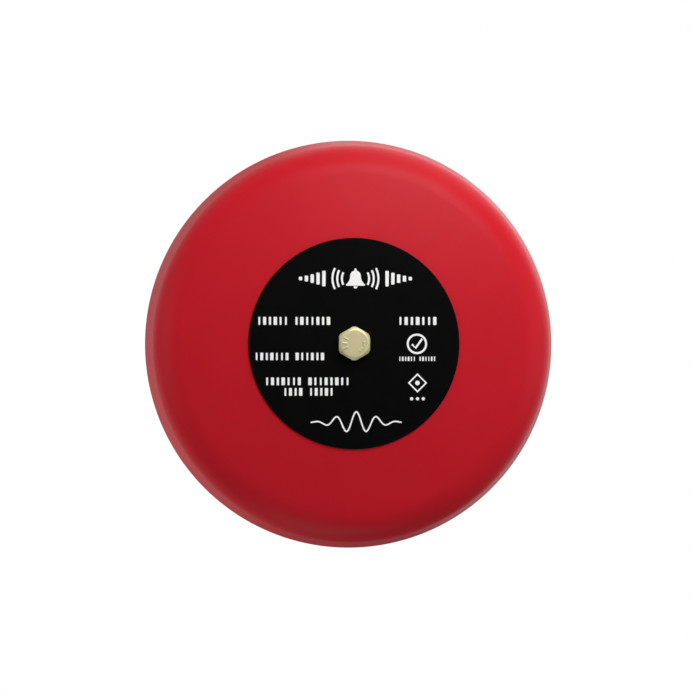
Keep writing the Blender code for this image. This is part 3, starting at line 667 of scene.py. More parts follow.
def make_gong():
    """The spun shell: flat crown, sloping face, round shoulder, tapered skirt and a rounded rim."""
    rim, crown = GONG.outs
    wall_at_rim = GONG_WALL / math.cos(SKIRT_DRAFT)
    inner_rim = GONG.radius - wall_at_rim
    crown_edge = CROWN_RADIUS - 1
    rim_round_out = rim + 1.2

    outside = [(GONG_HOLE_RADIUS, crown), (crown_edge, crown)]
    outside += shoulder_arc((CROWN_RADIUS, crown), (GONG.radius, rim), SHOULDER_RADIUS, 28)
    face_start = (CROWN_RADIUS, crown - GONG_WALL / math.cos(FACE_SLOPE))
    inside = [(GONG_HOLE_RADIUS, crown - GONG_WALL), (crown_edge, crown - GONG_WALL)]
    inside += shoulder_arc(face_start, (inner_rim, rim), SHOULDER_RADIUS - GONG_WALL, 24)

    skirt = GONG.radius - (rim_round_out - rim) * math.tan(SKIRT_DRAFT)
    outside.append((skirt, rim_round_out))
    inside.append((skirt - wall_at_rim, rim_round_out))
    half_wall = wall_at_rim / 2
    rim_round = arc((GONG.radius - half_wall, rim + half_wall), half_wall, 0, -180, 10)
    stand_in("gong", lathe(outside + rim_round[1:-1] + inside[::-1], segments=256))


def make_label():
    """A film disc with a soft edge."""
    inner = GONG_HOLE_RADIUS + 0.4
    stand_in("gong_label", lathe(soften(ring(inner, LABEL.radius, LABEL.outs), 0.1), segments=192))


def greeked(words, xs, ups):
    """Upright bars in place of a line of print, one for each letter of words of these lengths."""
    letters = sum(words) + len(words) - 1
    pitch = (xs[1] - xs[0]) / letters
    widths = (0.34, 0.58, 0.42, 0.66, 0.38)
    bars = []
    place = 0
    for length in words:
        for _ in range(length):
            middle = xs[0] + (place + 0.5) * pitch
            half = pitch * widths[place % len(widths)] / 2
            bars.append(rounded_rectangle((middle - half, middle + half), ups, 0.1 * pitch, 2))
            place += 1
        place += 1
    return bars


def bell_pictogram(at, height):
    """A hand-bell's side view: knob, dome, flared lip and clapper."""
    dome = arc((0, 0.60), 0.29, 0, 180, 20)
    flare = [(0.29 + 0.19 * t**2.2, 0.60 - 0.44 * t) for t in [i / 8 for i in range(9)]]
    lip = arc((0.47, 0.11), 0.05, 60, -90, 5)
    left = [(-x, up) for x, up in (flare + lip)]
    body = dome + left + (flare + lip)[::-1]
    knob = circle((0, 0.93), 0.07, 16)
    clapper = arc((0, 0.02), 0.11, 180, 360, 12)
    shapes = [body, knob, clapper]
    return [shifted([(x * height, (up - 0.45) * height) for x, up in shape], at) for shape in shapes]


def title_marks(centre):
    """A bell between sound waves and level bars, in place of a title."""
    shapes = bell_pictogram(centre, 6.6)
    for side in (0, 180):
        for radius in (4.9, 6.6, 8.3):
            shapes.append(stroke(arc(centre, radius, side - 27, side + 27, 14), 0.75))
    for side in (-1, 1):
        for i, height in enumerate((5.6, 4.3, 3.1, 2.1, 1.3)):
            x = centre[0] + side * (11.4 + 2.1 * i)
            ups = (centre[1] - height / 2, centre[1] + height / 2)
            shapes.append(rounded_rectangle((x - 0.62, x + 0.62), ups, 0.3, 4))
    return shapes


def rating_marks():
    """Rows of bars to the left and right of the bolt, where a label has its ratings."""
    rows = (
        ((6, 7), (-35.1, -8.3), (6.7, 9.6)),
        ((7, 6), (-36.0, -10.5), (-6.0, -3.3)),
        ((7, 8), (-32.3, -1.4), (-15.0, -12.2)),
        ((4, 5), (-25.7, -7.2), (-18.8, -16.0)),
        ((7,), (15.7, 30.2), (6.7, 9.6)),
        ((6, 6), (16.0, 29.6), (-6.3, -4.7)),
    )
    return [bar for row in rows for bar in greeked(*row)]


def wave_points(centre, half_length, height):
    """A sound wave that is tallest in the middle."""
    points = []
    steps = 120
    for i in range(steps + 1):
        across = 2 * i / steps - 1
        swing = math.cos(across * math.pi * 4.5) * math.exp(-3.2 * across**2)
        points.append((centre[0] + across * half_length, centre[1] + height / 2 * swing))
    return points


def make_label_print():
    """Generic marks where the label is printed. None of them is a letter or a real mark."""
    outs = (LABEL.far + 0.01, LABEL.far + 0.06)
    tick_at, diamond_at, dots_up = (22.7, -0.1), (22.9, -14.2), -19.9
    marks = title_marks((0.5, 23.4)) + rating_marks()
    marks.append(stroke(wave_points((0.8, -28.4), 16.4, 7.6), 0.55))
    marks += [circle((diamond_at[0] + 2.1 * i, dots_up), 0.6, 20) for i in (-1, 0, 1)]
    marks.append(circle(diamond_at, 0.85, 24))
    marks.append(stroke([(20.9, -0.2), (22.2, -1.6), (24.6, 1.7)], 0.75))
    solid = [plate(mark, outs, edge=0) for mark in marks]
    frames = [[circle(tick_at, radius, 64) for radius in (3.7, 2.95)]]
    frames.append([circle(diamond_at, radius, 4) for radius in (3.5, 2.75)])
    framed = [plate(outer, outs, [inner], edge=0) for outer, inner in frames]
    finished("label_print", together(solid + framed), "white_ink")


def make_bolt():
    """A forged hexagon head with its corners turned back, and raised marks on its face."""
    across_flats = BOLT.radius * 2
    head_height, mark_height = 4.4, 0.3
    seat, face = BOLT.far - head_height, BOLT.far - mark_height
    turned_radius, crown_radius = 0.55 * across_flats, 0.455 * across_flats
    hexagon = [polar((0, 0), across_flats / math.sqrt(3), 30 + 60 * i) for i in range(6)]
    profile = [
        (0, seat - 1),
        (turned_radius, seat - 1),
        (turned_radius, face - 1.0),
        (crown_radius, face),
        (0, face),
    ]
    head = plate(hexagon, (seat, face), edge=0.12)
    head = boolean(head, "INTERSECT", lathe(soften(profile, 0.35), segments=144))
    shank = lathe(soften(rod(3.15, (BOLT.near, seat + 0.5)), 0.4))
    stand_in("gong_bolt", join(bevelled(head, 0.09, above=25), shank), sharp_above=30)

    mark_outs = (face - 0.1, BOLT.far)
    bar = rounded_rectangle((-0.95, 0.95), (-0.3, 0.3), 0.25)
    marks = []
    for degrees in (150, 178, 206):
        marks.append(turned(plate(bar, mark_outs, edge=0.16), degrees, polar((0, 0), 3.6, degrees)))
    for degrees in (-52, -32, -12, 8):
        marks.append(lathe(soften(rod(0.44, mark_outs), 0.25), polar((0, 0), 3.3, degrees), 24))
    finished("bolt_grade_ticks", together(marks), "yellow_zinc", sharp_above=60)


def make_washers():
    for node in ("isolating_washer", "backing_washer"):
        washer = Extent(node)
        profile = soften(ring(GONG_HOLE_RADIUS, washer.radius, washer.outs), 0.3)
        stand_in(node, lathe(profile))


def make_post():
    """The turned pillar with its blind hole."""
    post = Extent("centre_post")
    foot, top = post.outs
    hole_radius, hole_depth, body, chamfer = 3.25, 22, 6.0, 0.6
    profile = [
        (0, foot),
        (post.radius, foot),
        (post.radius, foot + 2.0),
        (body + chamfer, foot + 2.8),
        (body, foot + 4.0),
        (body, top - chamfer),
        (body - chamfer, top),
        (hole_radius + 0.4, top),
        (hole_radius, top - 0.4),
        (hole_radius, top - hole_depth),
        (0, top - hole_depth),
    ]
    stand_in("centre_post", lathe(soften(profile, 0.3)))
    make_weld(post.radius + 0.1, foot)


def make_weld(radius, foot):
    """The rippled bead round the post's foot."""
    steps, around, ripples = 120, 12, 40
    shape = bmesh.new()
    rings = []
    for i in range(steps):
        turn = math.tau * i / steps
        swell = 0.75 + 0.09 * math.cos(turn * ripples)
        section = []
        for j in range(around):
            tilt = math.tau * j / around
            r, out = radius + swell * math.cos(tilt), foot + 0.35 + 0.8 * swell * math.sin(tilt)
            section.append(shape.verts.new((r * math.cos(turn), r * math.sin(turn), max(out, foot))))
        rings.append(section)
    for i, a in enumerate(rings):
        b = rings[(i + 1) % steps]
        for j in range(around):
            k = (j + 1) % around
            shape.faces.new((a[j], b[j], b[k], a[k]))
    bmesh.ops.recalc_face_normals(shape, faces=shape.faces)
    finished("post_weld", mesh_from(shape), "steel")


KEYHOLE_X = 44.45
KEYHOLE_DROP = 7.0
KEYHOLE_RADIUS = 4.6
SLOT_RADIUS = 2.4
TOP_SLOT_UP = 51.0
CABLE_HOLE_RADIUS = 5.2
PLATE_WALL = 1.5


def make_base_plate():
    """The pressed plate. Its edge is turned forward, and its holes are punched and deburred."""
    bend, half_wall = 1.6, PLATE_WALL / 2
    centre = (PLATE.radius - PLATE_WALL - bend, PLATE_WALL + bend)
    outer = arc(centre, bend + PLATE_WALL, -90, 0, 12)
    inner = arc(centre, bend, 0, -90, 8)
    lip = arc((PLATE.radius - half_wall, PLATE.far - half_wall), half_wall, 0, 180, 8)
    disc = lathe([(0, 0)] + outer + lip + inner + [(0, PLATE_WALL)], segments=192)

    outlines = [circle(Extent("cable_grommet").at, CABLE_HOLE_RADIUS)]
    for x in (-KEYHOLE_X, KEYHOLE_X):
        outlines.append(circle((x, -KEYHOLE_DROP), KEYHOLE_RADIUS))
        outlines.append(obround((x, -KEYHOLE_DROP), (x, 0), SLOT_RADIUS))
    outlines.append(lying_obround(3.0, SLOT_RADIUS, (0, TOP_SLOT_UP)))
    cuts = [plate(outline, (-1, PLATE_WALL + 1), edge=0) for outline in outlines]
    sink = [(0, -1), (4.0, -1), (1.75, 1.25), (1.75, 2.5), (0, 2.5)]
    cuts += [lathe(sink, Extent(screw).at, SMALL_ROUND) for screw in CHASSIS_SCREWS]
    stand_in("base_plate", bevelled(cut(disc, *cuts), 0.12, above=60))


def make_grommet():
    """A rubber ring whose flange rests on the front of the plate."""
    box = Extent("cable_grommet")
    flange = box.near + PLATE_WALL
    bore, neck = 3.0, 5.0
    profile = [
        (box.radius, flange),
        (box.radius, flange + 1.0),
        (box.radius - 0.8, box.far),
        (bore, box.far),
        (bore, box.near),
        (neck, box.near),
        (neck, flange),
    ]
    stand_in("cable_grommet", lathe(soften(profile, 0.4), box.at, SMALL_ROUND))


def cross_recess(box, outs, degrees):
    """The cutter for a cross-head screw's recess, turned to this angle."""
    reach = 0.62 * box.radius
    return turned(plate(cross_outline(reach, 0.2 * reach), outs, edge=0), degrees, box.at)


def pan_screw(node, recess_turn):
    """A domed cross-head screw, its head on the far side."""
    box = Extent(node)
    head_height = 0.6 * box.radius
    seat = box.far - head_height
    shank = 0.5 * box.radius
    flat = 0.35 * head_height
    profile = [(0, box.near), (0.6 * shank, box.near), (shank, box.near + 0.5 * shank), (shank, seat)]
    profile.append((box.radius, seat))
    for x, rise in arc((0, 0), 1, 0, 90, 8)[:-1]:
        profile.append((box.radius * x, seat + flat + (head_height - flat) * rise))
    profile.append((0, box.far))
    recess = cross_recess(box, (box.far - 0.55 * head_height, box.far + 1), recess_turn)
    screw = cut(lathe(profile, box.at, SMALL_ROUND), recess)
    stand_in(node, bevelled(screw, 0.05, above=55), sharp_above=35)


def make_chassis_screws():
    """Countersunk cross-head screws, seen from behind the base plate."""
    shank = 1.35
    for i, node in enumerate(CHASSIS_SCREWS):
        box = Extent(node)
        profile = [
            (0, box.near),
            (box.radius, box.near),
            (shank, PLATE_WALL),
            (shank, box.far - 0.6),
            (0.8, box.far),
            (0, box.far),
        ]
        body = lathe(soften(profile, 0.08), box.at, SMALL_ROUND)
        recess = cross_recess(box, (box.near - 1, box.near + 0.9), 20 + 35 * i)
        stand_in(node, cut(body, recess), sharp_above=35)


FLANGE_OUT = 4.8
DECK_OUT = 24.2
CUP_WALL = 2.8


def gusset(degrees, inner, outer, low, high):
    """A thin web that runs up the side of the motor's cup."""
    outline = [(inner, low), (outer, low), (inner + 0.4, high), (inner, high)]
    return turned(extruded_up(outline, (-0.7, 0.7), edge=0.2), degrees, MOTOR_AT)


def make_chassis():
    """The moulding: flange, motor cup with its deck and webs, screw bosses and board posts."""
    width = CHASSIS.xs[1]
    deck_top = CHASSIS.far
    foot = FLANGE_OUT - 1
    top = (0, CHASSIS.ups[1] - width)
    post_opening = circle((0, 0), 13.0, 64)
    outline = obround(MOTOR_AT, top, width, 40)
    flange = plate(outline, (CHASSIS.near, FLANGE_OUT), [post_opening], edge=0.5, steps=3)

    cup_radius = CAN.radius + 0.2
    cup_outer = cup_radius + CUP_WALL
    rounding = 1.4
    cup = [
        (0, foot),
        (cup_outer + 0.35, foot),
        (cup_outer, deck_top - rounding),
        (cup_outer - rounding, deck_top),
        (0, deck_top),
    ]
    added = [lathe(soften(cup, 1.2, 6), MOTOR_AT)]
    for degrees in range(180, 361, 36):
        added.append(gusset(degrees, cup_outer - 1, width - 0.4, FLANGE_OUT - 0.8, 17))
    post_top = BOARD.near - 0.3
    for at in [Extent(node).at for node in BOARD_SCREWS] + [(0, 15.0)]:
        post = [(0, foot), (3.1, foot), (2.75, post_top), (0, post_top)]
        added.append(lathe(soften(post, 0.3), at, SMALL_ROUND))
    for node in CHASSIS_SCREWS:
        screw = Extent(node)
        boss_top = screw.far + 1.6
        boss = [(0, foot), (3.45, foot), (3.15, boss_top), (1.0, boss_top)]
        boss += [(0.6, boss_top - 0.4), (0, boss_top - 0.4)]
        added.append(lathe(soften(boss, 0.5), screw.at, SMALL_ROUND))

    deck = (DECK_OUT - 1, deck_top + 1)
    lead_way = rectangle((-4.6, 4.6), (MOTOR_AT[1] + 8, MOTOR_AT[1] + 20))
    cuts = [
        lathe(rod(cup_radius, (0, DECK_OUT)), MOTOR_AT),
        peg(3.4, deck, MOTOR_AT),
        plate(lead_way, (foot, FLANGE_OUT + 1.9), edge=0.3),
    ]
    cuts += [peg(1.4, deck, Extent(node).at) for node in MOTOR_SCREWS]
    cuts += [peg(1.45, (0, screw.far + 0.4), screw.at) for screw in map(Extent, CHASSIS_SCREWS)]
    cuts += [peg(1.2, (FLANGE_OUT, post_top + 1), Extent(node).at) for node in BOARD_SCREWS]
    stand_in("chassis", cut(join(flange, *added), *cuts))


def make_motor():
    """The motor's fixed parts, which its cup mostly hides."""
    bush_hole, boss, wall, boss_height = 2.3, 3.1, 0.9, 1.5
    rear, boss_top = CAN.outs
    front = boss_top - boss_height
    inner = CAN.radius - wall
    profile = [
        (inner, rear),
        (CAN.radius, rear),
        (CAN.radius, front),
        (boss, front),
        (boss, boss_top),
        (bush_hole, boss_top),
        (bush_hole, front - wall),
        (inner, front - wall),
    ]
    can = lathe(soften(profile, 0.7), MOTOR_AT)
    holes = [lathe(rod(1.3, (front - 2, front + 1)), Extent(node).at, 24) for node in MOTOR_SCREWS]
    stand_in("motor_can", cut(can, *holes))

    make_end_cap(bush_hole)
    for node in ("motor_bush_front", "motor_bush_rear"):
        bush = Extent(node)
        stand_in(node, collar(1.07, bush.radius, bush.outs, 0.15, MOTOR_AT))
    for node, middle in (("motor_magnet_left", 180), ("motor_magnet_right", 0)):
        outline = arc(MOTOR_AT, 11.2, middle - 62, middle + 62, 24)
        outline += arc(MOTOR_AT, 9.6, middle + 62, middle - 62, 24)
        stand_in(node, plate(outline, Extent(node).outs, edge=0.25))


def make_end_cap(bush_hole):
    """The moulding at the motor's rear and the two bent brushes that pass through it."""
    near, far = CAP.outs
    floor = near + 1.8
    bush_wall, bush_seat = bush_hole + 1.2, near + 0.6
    profile = [
        (0, near),
        (CAP.radius, near),
        (CAP.radius, floor),
        (bush_wall, floor),
        (bush_wall, far),
        (bush_hole, far),
        (bush_hole, bush_seat),
        (0, bush_seat),
    ]
    slot_ups = (MOTOR_AT[1] + 5.8, MOTOR_AT[1] + 8.2)
    slots = []
    for node in ("motor_brush_positive", "motor_brush_negative"):
        brush = Extent(node)
        slot = rectangle((brush.xs[0] - 0.1, brush.xs[1] + 0.1), slot_ups)
        slots.append(plate(slot, (near - 1, far), edge=0))
        low, high = brush.ups
        tab, rear_face = high - 2, brush.near + 5.4
        blade = [(low, rear_face), (tab, rear_face), (tab, brush.near)]
        blade += [(high, brush.near), (high, brush.far), (low, brush.far)]
        stand_in(node, extruded_across(blade, brush.xs))
    stand_in("motor_end_cap", cut(lathe(soften(profile, 0.3), MOTOR_AT), *slots))


def make_armature():
    """The shaft, the commutator in three segments, the core and three wound coils."""
    stand_in("motor_shaft", peg(SHAFT.radius, SHAFT.outs, MOTOR_AT, 0.3))
    drum = Extent("commutator")
    gaps = []
    for i in range(3):
        slit = plate(rectangle((1.8, 4), (-0.12, 0.12)), (drum.near - 1, drum.far - 0.4), edge=0)
        gaps.append(turned(slit, 30 + 120 * i, MOTOR_AT))
    stand_in("commutator", cut(collar(1.05, drum.radius, drum.outs, 0.12, MOTOR_AT), *gaps))
    make_core()
    make_winding()


def make_core():
    """Three poles, each a neck with a wide shoe."""
    core = Extent("armature_core")
    neck, hub, shoe_inner, shoe_outer, spread = 1.8, 3.4, 7.9, 9.2, 51
    at_hub, at_shoe = (math.degrees(math.asin(neck / radius)) for radius in (hub, shoe_inner))
    outline = []
    for middle in (90, 210, 330):
        outline.append(polar(MOTOR_AT, hub, middle - at_hub))
        outline += arc(MOTOR_AT, shoe_inner, middle - at_shoe, middle - spread, 10)
        outline += arc(MOTOR_AT, shoe_outer, middle - spread, middle + spread, 30)
        outline += arc(MOTOR_AT, shoe_inner, middle + spread, middle + at_shoe, 10)
        outline.append(polar(MOTOR_AT, hub, middle + at_hub))
    stand_in("armature_core", plate(outline, core.outs, [circle(MOTOR_AT, 1.05, 32)], edge=0.1))


def make_winding():
    """On each pole, layers of wire that widen outwards."""
    winding = Extent("armature_winding")
    turns, gauge, first = 9, 0.38, 4.1
    half_height = (winding.far - winding.near) / 2
    hole = rounded_rectangle((-2.1, 2.1), (-2.75, 2.75), 0.5, 4)
    facing_up = Matrix.Rotation(math.pi / 2, 4, "Y") @ Matrix.Rotation(math.pi / 2, 4, "Z")
    coils = []
    for pole in range(3):
        for turn in range(turns):
            reach = first + turn * gauge
            half_width = min(4.3, 1.62 * reach - 2.0)
            loop = rounded_rectangle((-half_width, half_width), (-half_height, half_height), 1.5, 6)
            layer = plate(loop, (reach, reach + gauge), [hole], edge=0.15)
            layer.transform(facing_up)
            coils.append(turned(layer, 90 + 120 * pole, MOTOR_AT, sum(winding.outs) / 2))
    stand_in("armature_winding", together(coils))


def make_carrier():
    """The moulded carrier: a hub, a bar to the two pivots, and a stop block with two pockets."""
    carrier = Extent("hammer_carrier")
    bar_outs = (28.0, 30.0)
    pivots = [Extent(node).at for node in ("hammer_pin_left", "hammer_pin_right")]
    bar = plate(lying_obround(pivots[1][0], 3.7, MOTOR_AT), bar_outs, edge=0.3, steps=3)
    block_outline = rounded_rectangle((-4.35, 4.35), carrier.ups, 0.8)
    block = plate(block_outline, (bar_outs[0], carrier.far), edge=0.35, steps=3)
    hub = peg(3.2, (carrier.near, bar_outs[0] + 0.5), MOTOR_AT, 0.3)
    holes = [peg(1.05, (carrier.near - 1, carrier.far + 1), MOTOR_AT)]
    holes += [peg(1.55, (bar_outs[0] - 1, carrier.far), at) for at in pivots]
    for side in (-1, 1):
        middle = MOTOR_AT[1] + side * 5.6
        pocket = rounded_rectangle((-2.6, 2.6), (middle - 1.7, middle + 1.7), 0.6)
        holes.append(plate(pocket, (carrier.far - 1.6, carrier.far + 1), edge=0))
    stand_in("hammer_carrier", bevelled(cut(join(block, bar, hub), *holes), 0.08, above=70))


def make_carrier_fixings():
    """The thrust washer under the carrier, and the push nut, pins and clips that hold it all."""
    washer, nut = Extent("thrust_washer"), Extent("shaft_push_nut")
    stand_in("thrust_washer", collar(1.07, washer.radius, washer.outs, 0.12, MOTOR_AT))
    grip = lobed(MOTOR_AT, 1.06, 0.7, 4)
    stand_in("shaft_push_nut", plate(circle(MOTOR_AT, nut.radius), nut.outs, [grip], edge=0.12))
    for side in ("left", "right"):
        pin, clip = Extent(f"hammer_pin_{side}"), Extent(f"hammer_clip_{side}")
        stand_in(f"hammer_pin_{side}", peg(pin.radius, pin.outs, pin.at, 0.35))
        grip = lobed(pin.at, 1.56, 0.6, 3)
        stand_in(f"hammer_clip_{side}", plate(circle(pin.at, clip.radius), clip.outs, [grip], edge=0.12))


def make_hammer(side):
    """A stamped arm and the turned brass weight riveted in its end."""
    arm, weight = Extent(f"hammer_{side}_arm"), Extent(f"hammer_{side}_weight")
    pivot = Extent(f"hammer_pin_{side}").at
    half_width, eye, tip = 2.5, 3.5, 3.4
    eye_angle = math.degrees(math.acos(half_width / eye))
    tip_angle = math.degrees(math.acos(half_width / tip))
    outline = arc(pivot, eye, -eye_angle, 180 + eye_angle, 40)
    outline += arc(weight.at, tip, 180 - tip_angle, 360 + tip_angle, 40)
    holes = [circle(pivot, 1.6), circle(weight.at, 2.1)]
    stand_in(f"hammer_{side}_arm", plate(outline, arm.outs, holes, edge=0.25, steps=3))

    rivet, gap, dimple = 2.0, 0.15, 0.5
    low, high = weight.outs
    low_half = [
        (0, low + dimple),
        (0.9, low + dimple),
        (1.2, low),
        (weight.radius, low),
        (weight.radius, arm.near - gap),
        (rivet, arm.near - gap),
    ]
    high_half = [
        (rivet, arm.far + gap),
        (weight.radius, arm.far + gap),
        (weight.radius, high),
        (1.2, high),
        (0.9, high - dimple),
        (0, high - dimple),
    ]
    profile = low_half + high_half
    stand_in(f"hammer_{side}_weight", lathe(soften(profile, 0.5), weight.at, SMALL_ROUND))


LEAD_AT = (11.6, 15.4)
DISC_LEG_SPACING = 2.5
DIODE_LEG_SPACING = 4.1


def grown(box, by, corner):
    """The outline of a box that is this much larger on every side."""
    (left, right), (low, high) = box.xs, box.ups
    return rounded_rectangle((left - by, right + by), (low - by, high + by), corner)


def make_board():
    """The circuit board, its white outlines and its soldered pads."""
    block, disc, diode = Extent("terminal_block"), Extent("surge_suppressor"), Extent("polarity_diode")
    holes = [circle(Extent(node).at, 1.5, 32) for node in BOARD_SCREWS]
    outline = rounded_rectangle(BOARD.xs, BOARD.ups, 1.0)
    stand_in("circuit_board", plate(outline, BOARD.outs, holes, edge=0.06))

    print_outs = (BOARD.far, BOARD.far + 0.04)
    line = 0.22
    drawn = []
    for box, gap in ((block, 0.6), (disc, 0.5), (diode, 0.7)):
        drawn.append(plate(grown(box, gap, 0.4), print_outs, [grown(box, gap - line, 0.3)], edge=0))
    plus = shifted(cross_outline(0.8, 0.16), (13.4, 17.6))
    minus = rectangle((-14.2, -12.9), (14.9, 15.2))
    drawn += [plate(sign, print_outs, edge=0) for sign in (plus, minus)]
    finished("board_outlines", together(drawn), "white_ink")

    x, up = LEAD_AT
    pads = [(x, up), (-x, up)]
    for (x, up), spacing in ((disc.at, DISC_LEG_SPACING), (diode.at, DIODE_LEG_SPACING)):
        pads += [(x, up - spacing), (x, up + spacing)]
    fillet = [(0, 0), (1.05, 0), (0.95, 0.1), (0.62, 0.35), (0, 0.8)]
    profile = soften([(radius, BOARD.far + out) for radius, out in fillet], 0.15)
    finished("board_solder", together(lathe(profile, at, 32) for at in pads), "tinned")


def make_terminal_block():
    """A two-way screw terminal: stepped housing, screw wells, wire entries and slotted screws."""
    box = Extent("terminal_block")
    left, right = box.xs
    near, far = box.outs
    side = [(left, near), (right, near), (right, far - 1.8)]
    side += [(right - 1.4, far), (left + 1.7, far), (left, far - 4.2)]
    body = extruded_up(side, box.ups, edge=0.25)
    tools = []
    for i, node in enumerate(("terminal_screw_1", "terminal_screw_2")):
        screw = Extent(node)
        x, up = screw.at
        tools.append(peg(1.9, (screw.near - 0.2, far + 1), screw.at))
        entry = rounded_rectangle((up - 1.6, up + 1.6), (near + 1.2, near + 4.4), 0.3)
        tools.append(extruded_across(entry, (left - 1, x - 2.4), edge=0))
        slot = plate(rectangle((-2, 2), (-0.28, 0.28)), (screw.far - 0.9, screw.far + 1), edge=0)
        head = peg(screw.radius, screw.outs, screw.at, 0.25)
        stand_in(node, cut(head, turned(slot, 25 + 50 * i, screw.at)), sharp_above=35)
    stand_in("terminal_block", cut(body, *tools))


def make_suppressor():
    """The dipped disc, which stands on edge. Returns its two kinked legs."""
    disc = Extent("surge_suppressor")
    half = (disc.xs[1] - disc.xs[0]) / 2
    radius = (disc.ups[1] - disc.ups[0]) / 2
    middle = disc.far - radius
    on_edge = Matrix.Rotation(math.pi / 2, 3, "Y")
    body = lathe(soften(rod(radius, (-half, half)), 1.4, 8))
    stand_in("surge_suppressor", moved(body, (*disc.at, middle), on_edge))
    x, up = disc.at
    legs = []
    for side in (-1, 1):
        leg_up = up + side * DISC_LEG_SPACING
        kink = (x, leg_up + side * 0.5, BOARD.far + 1.4)
        path = [(x, leg_up, BOARD.far + 0.1), (x, leg_up, BOARD.far + 0.9), kink]
        path += [(x, leg_up, BOARD.far + 2.2), (x, leg_up, middle - 2)]
        legs.append(wire(path, 0.3, resolution=5))
    return legs


def make_diode():
    """The diode with its painted band, lying flat. Returns its two bent legs."""
    diode = Extent("polarity_diode")
    x, up = diode.at
    radius, half_body = diode.xs[1] - x, 2.6
    axis_out = diode.far - radius
    lying = Matrix.Rotation(math.pi / 2, 3, "X")
    body = lathe(soften(rod(radius, (-half_body, half_body)), 0.35), segments=SMALL_ROUND)
    stand_in("polarity_diode", moved(body, (x, up, axis_out), lying))
    band = lathe(ring(radius - 0.1, radius + 0.02, (1.3, 2.0)), segments=SMALL_ROUND)
    finished("diode_band", moved(band, (x, up, axis_out), lying), "white_ink")
    legs = []
    for side in (-1, 1):
        end = up + side * DIODE_LEG_SPACING
        path = [(x, up + side * 2.4, axis_out), (x, end - side * 0.5, axis_out)]
        path += [(x, end, axis_out - 0.5), (x, end, BOARD.far + 0.1)]
        legs.append(wire(path, 0.32, resolution=5))
    return legs


def make_components():
    finished("component_legs", together(make_suppressor() + make_diode()), "tinned")


def make_leads():
    """The motor's wires, from the brush tabs along the chassis to the board."""
    radius = 0.65
    low = MOTOR_AT[1]
    lie = FLANGE_OUT + radius + 0.25
    above = BOARD.far + 3.0
    pad_x, pad_up = LEAD_AT
    path = [
        (3.8, low + 6.4, lie - 0.35),
        (3.8, low + 11.0, lie - 0.2),
        (3.7, low + 17.0, lie - 0.1),
        (7.2, -17.0, lie),
        (12.6, -13.2, lie),
        (15.4, -6.0, lie),
        (15.6, 2.0, lie + 0.2),
        (15.2, 7.0, lie + 2.0),
        (13.8, 10.4, above),
        (12.0, 13.4, above + 0.1),
        (pad_x, pad_up - 0.2, above - 1.2),
        (pad_x, pad_up, BOARD.far + 0.9),
    ]
    bare = []
    for node, side in (("lead_positive", 1), ("lead_negative", -1)):
        stand_in(node, wire([(side * x, up, out) for x, up, out in path], radius, resolution=10))
        ends = [(side * pad_x, pad_up, BOARD.far + out) for out in (1.1, 0.1)]
        bare.append(wire(ends, 0.35, smooth=False))
    finished("lead_ends", together(bare), "tinned")


def make_bell():
    make_gong()
    make_label()
    make_label_print()
    make_bolt()
    make_washers()
    make_post()
    make_base_plate()
    make_grommet()
    make_chassis()
    make_chassis_screws()
    make_motor()
    for i, node in enumerate(MOTOR_SCREWS + BOARD_SCREWS):
        pan_screw(node, 15 + 40 * i)
    make_armature()
    make_carrier()
    make_carrier_fixings()
    make_hammer("left")
    make_hammer("right")
    make_board()
    make_terminal_block()
    make_components()
    make_leads()


# ---------------------------------------------------------------- studio


def softbox(name, around, off_axis, distance, size, power, glossy=True):
    """A square light, in degrees, metres and watts, that faces the gong.

    around is its direction as seen from in front, counter-clockwise from the right. off_axis is
    how far it stands from the gong's axis: 0 in front and 180 behind.
    """
    light = bpy.data.lights.new(name, "AREA")
    light.shape = "SQUARE"
    light.size = size
    light.energy = power
    lamp = placed(light, name)
    aim = Vector((0, -0.04, 0))
    x, up = polar((0, 0), math.sin(math.radians(off_axis)), around)
    toward = Vector((x, -math.cos(math.radians(off_axis)), up))
    lamp.location = aim + toward * distance
    lamp.rotation_euler = (-toward).to_track_quat("-Z", "Y").to_euler()
    lamp.visible_camera = False
    lamp.visible_glossy = glossy


def make_world():
    """White to the camera, and a low even light to the bell, whose reflections have a brighter sky."""
    even_light, ground, sky = 0.215, 0.12, 0.55
    world = bpy.data.worlds.new("studio")
    bpy.context.scene.world = world
    world.use_nodes = True
    tree = world.node_tree
    rays = add_node(tree, "ShaderNodeLightPath", {}).outputs
    direction = add_node(tree, "ShaderNodeTexCoord", {}).outputs["Generated"]
    height = add_node(tree, "ShaderNodeSeparateXYZ", {0: direction}).outputs["Z"]
    reflected = stretched(tree, height, (-0.6, 0.8), (ground, sky))
    inputs = {"Factor": rays["Is Glossy Ray"], "A": even_light, "B": reflected}
    lighting = add_node(tree, "ShaderNodeMix", inputs).outputs["Result"]
    inputs = {0: lighting, 1: rays["Is Camera Ray"]}
    level = add_node(tree, "ShaderNodeMath", inputs, operation="MAXIMUM").outputs[0]
    background = tree.nodes["Background"]
    background.inputs["Color"].default_value = (1, 1, 1, 1)
    tree.links.new(level, background.inputs["Strength"])


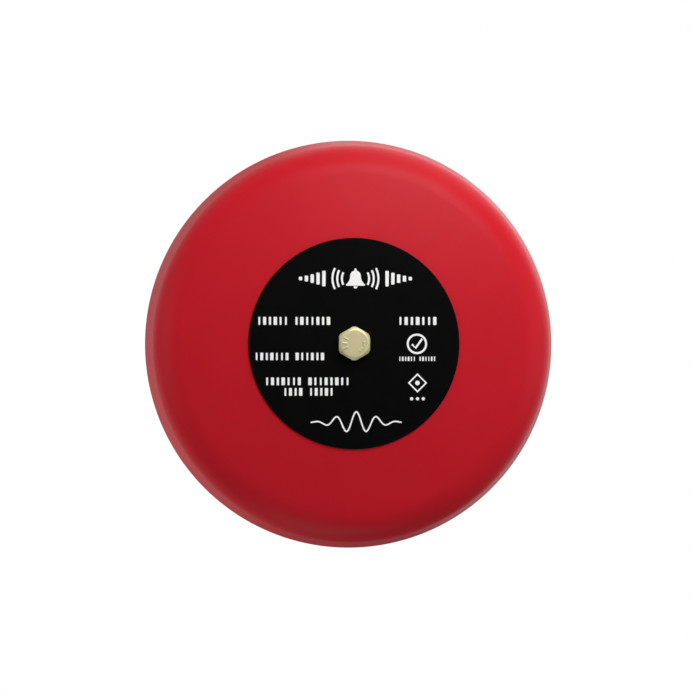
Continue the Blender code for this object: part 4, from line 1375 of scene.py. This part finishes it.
def floor_material():
    """A pale matte surface that fades to plain white further out, and is clear from behind."""
    material = bpy.data.materials.new("pale_floor")
    material.use_nodes = True
    tree = material.node_tree
    tree.nodes.clear()
    place = add_node(tree, "ShaderNodeTexCoord", {}).outputs["Object"]
    distance = add_node(tree, "ShaderNodeVectorMath", {0: place}, operation="LENGTH").outputs["Value"]
    fade = stretched(tree, distance, (0.2, 0.48), (0, 1), interpolation_type="SMOOTHSTEP")
    matte = add_node(tree, "ShaderNodeBsdfDiffuse", {"Color": (0.82, 0.82, 0.82, 1)}).outputs[0]
    lift = add_node(tree, "ShaderNodeEmission", {"Strength": 0.5}).outputs[0]
    glow = add_node(tree, "ShaderNodeEmission", {"Strength": 1.0}).outputs[0]
    near = add_node(tree, "ShaderNodeAddShader", {0: matte, 1: lift}).outputs[0]
    front = add_node(tree, "ShaderNodeMixShader", {0: fade, 1: near, 2: glow}).outputs[0]
    behind = add_node(tree, "ShaderNodeNewGeometry", {}).outputs["Backfacing"]
    clear = add_node(tree, "ShaderNodeBsdfTransparent", {}).outputs[0]
    surface = add_node(tree, "ShaderNodeMixShader", {0: behind, 1: front, 2: clear}).outputs[0]
    add_node(tree, "ShaderNodeOutputMaterial", {"Surface": surface})
    return material


def make_floor():
    """A floor well under the bell. It neither lights nor shades the bell, and never hides it."""
    shape = bmesh.new()
    bmesh.ops.create_grid(shape, x_segments=8, y_segments=8, size=6)
    floor = placed(mesh_from(shape), "floor")
    floor.data.materials.append(floor_material())
    floor.location.z = -0.2
    floor.visible_diffuse = False
    floor.visible_glossy = False
    floor.visible_shadow = False


def make_camera():
    """Square on but a little from the left, which puts the label just right of the gong's middle."""
    azimuth, elevation = math.radians(-2.95), math.radians(-0.3)
    distance = 0.93
    data = bpy.data.cameras.new("camera")
    data.lens = 129.2
    camera = placed(data, "camera")
    aim = Vector((-0.0011, -0.02, -0.0007))
    back = Vector((math.sin(azimuth), -math.cos(azimuth), math.tan(elevation))).normalized()
    camera.location = aim + back * distance
    camera.rotation_euler = (-back).to_track_quat("-Z", "Y").to_euler()
    data.clip_start = 0.01
    bpy.context.scene.camera = camera


def make_studio():
    make_world()
    make_floor()
    softbox("key", 68, 46, 0.46, 0.30, 1.68)
    softbox("top", 75, 85, 0.7, 0.40, 0.45)
    softbox("right", 0, 75, 0.6, 0.36, 0.96, glossy=False)
    softbox("left", 180, 80, 0.6, 0.36, 1.1, glossy=False)
    softbox("low", 262, 84, 0.6, 0.36, 0.5)
    softbox("behind", 60, 130, 1.1, 1.3, 4)
    softbox("right_rim", -5, 142, 1.1, 1.0, 1.7)
    softbox("left_rim", 185, 146, 1.1, 1.0, 0.7)
    softbox("rear_fill", 225, 130, 1.0, 0.9, 3, glossy=False)
    make_camera()
    bpy.context.scene.view_settings.view_transform = "Standard"


make_bell()
make_studio()
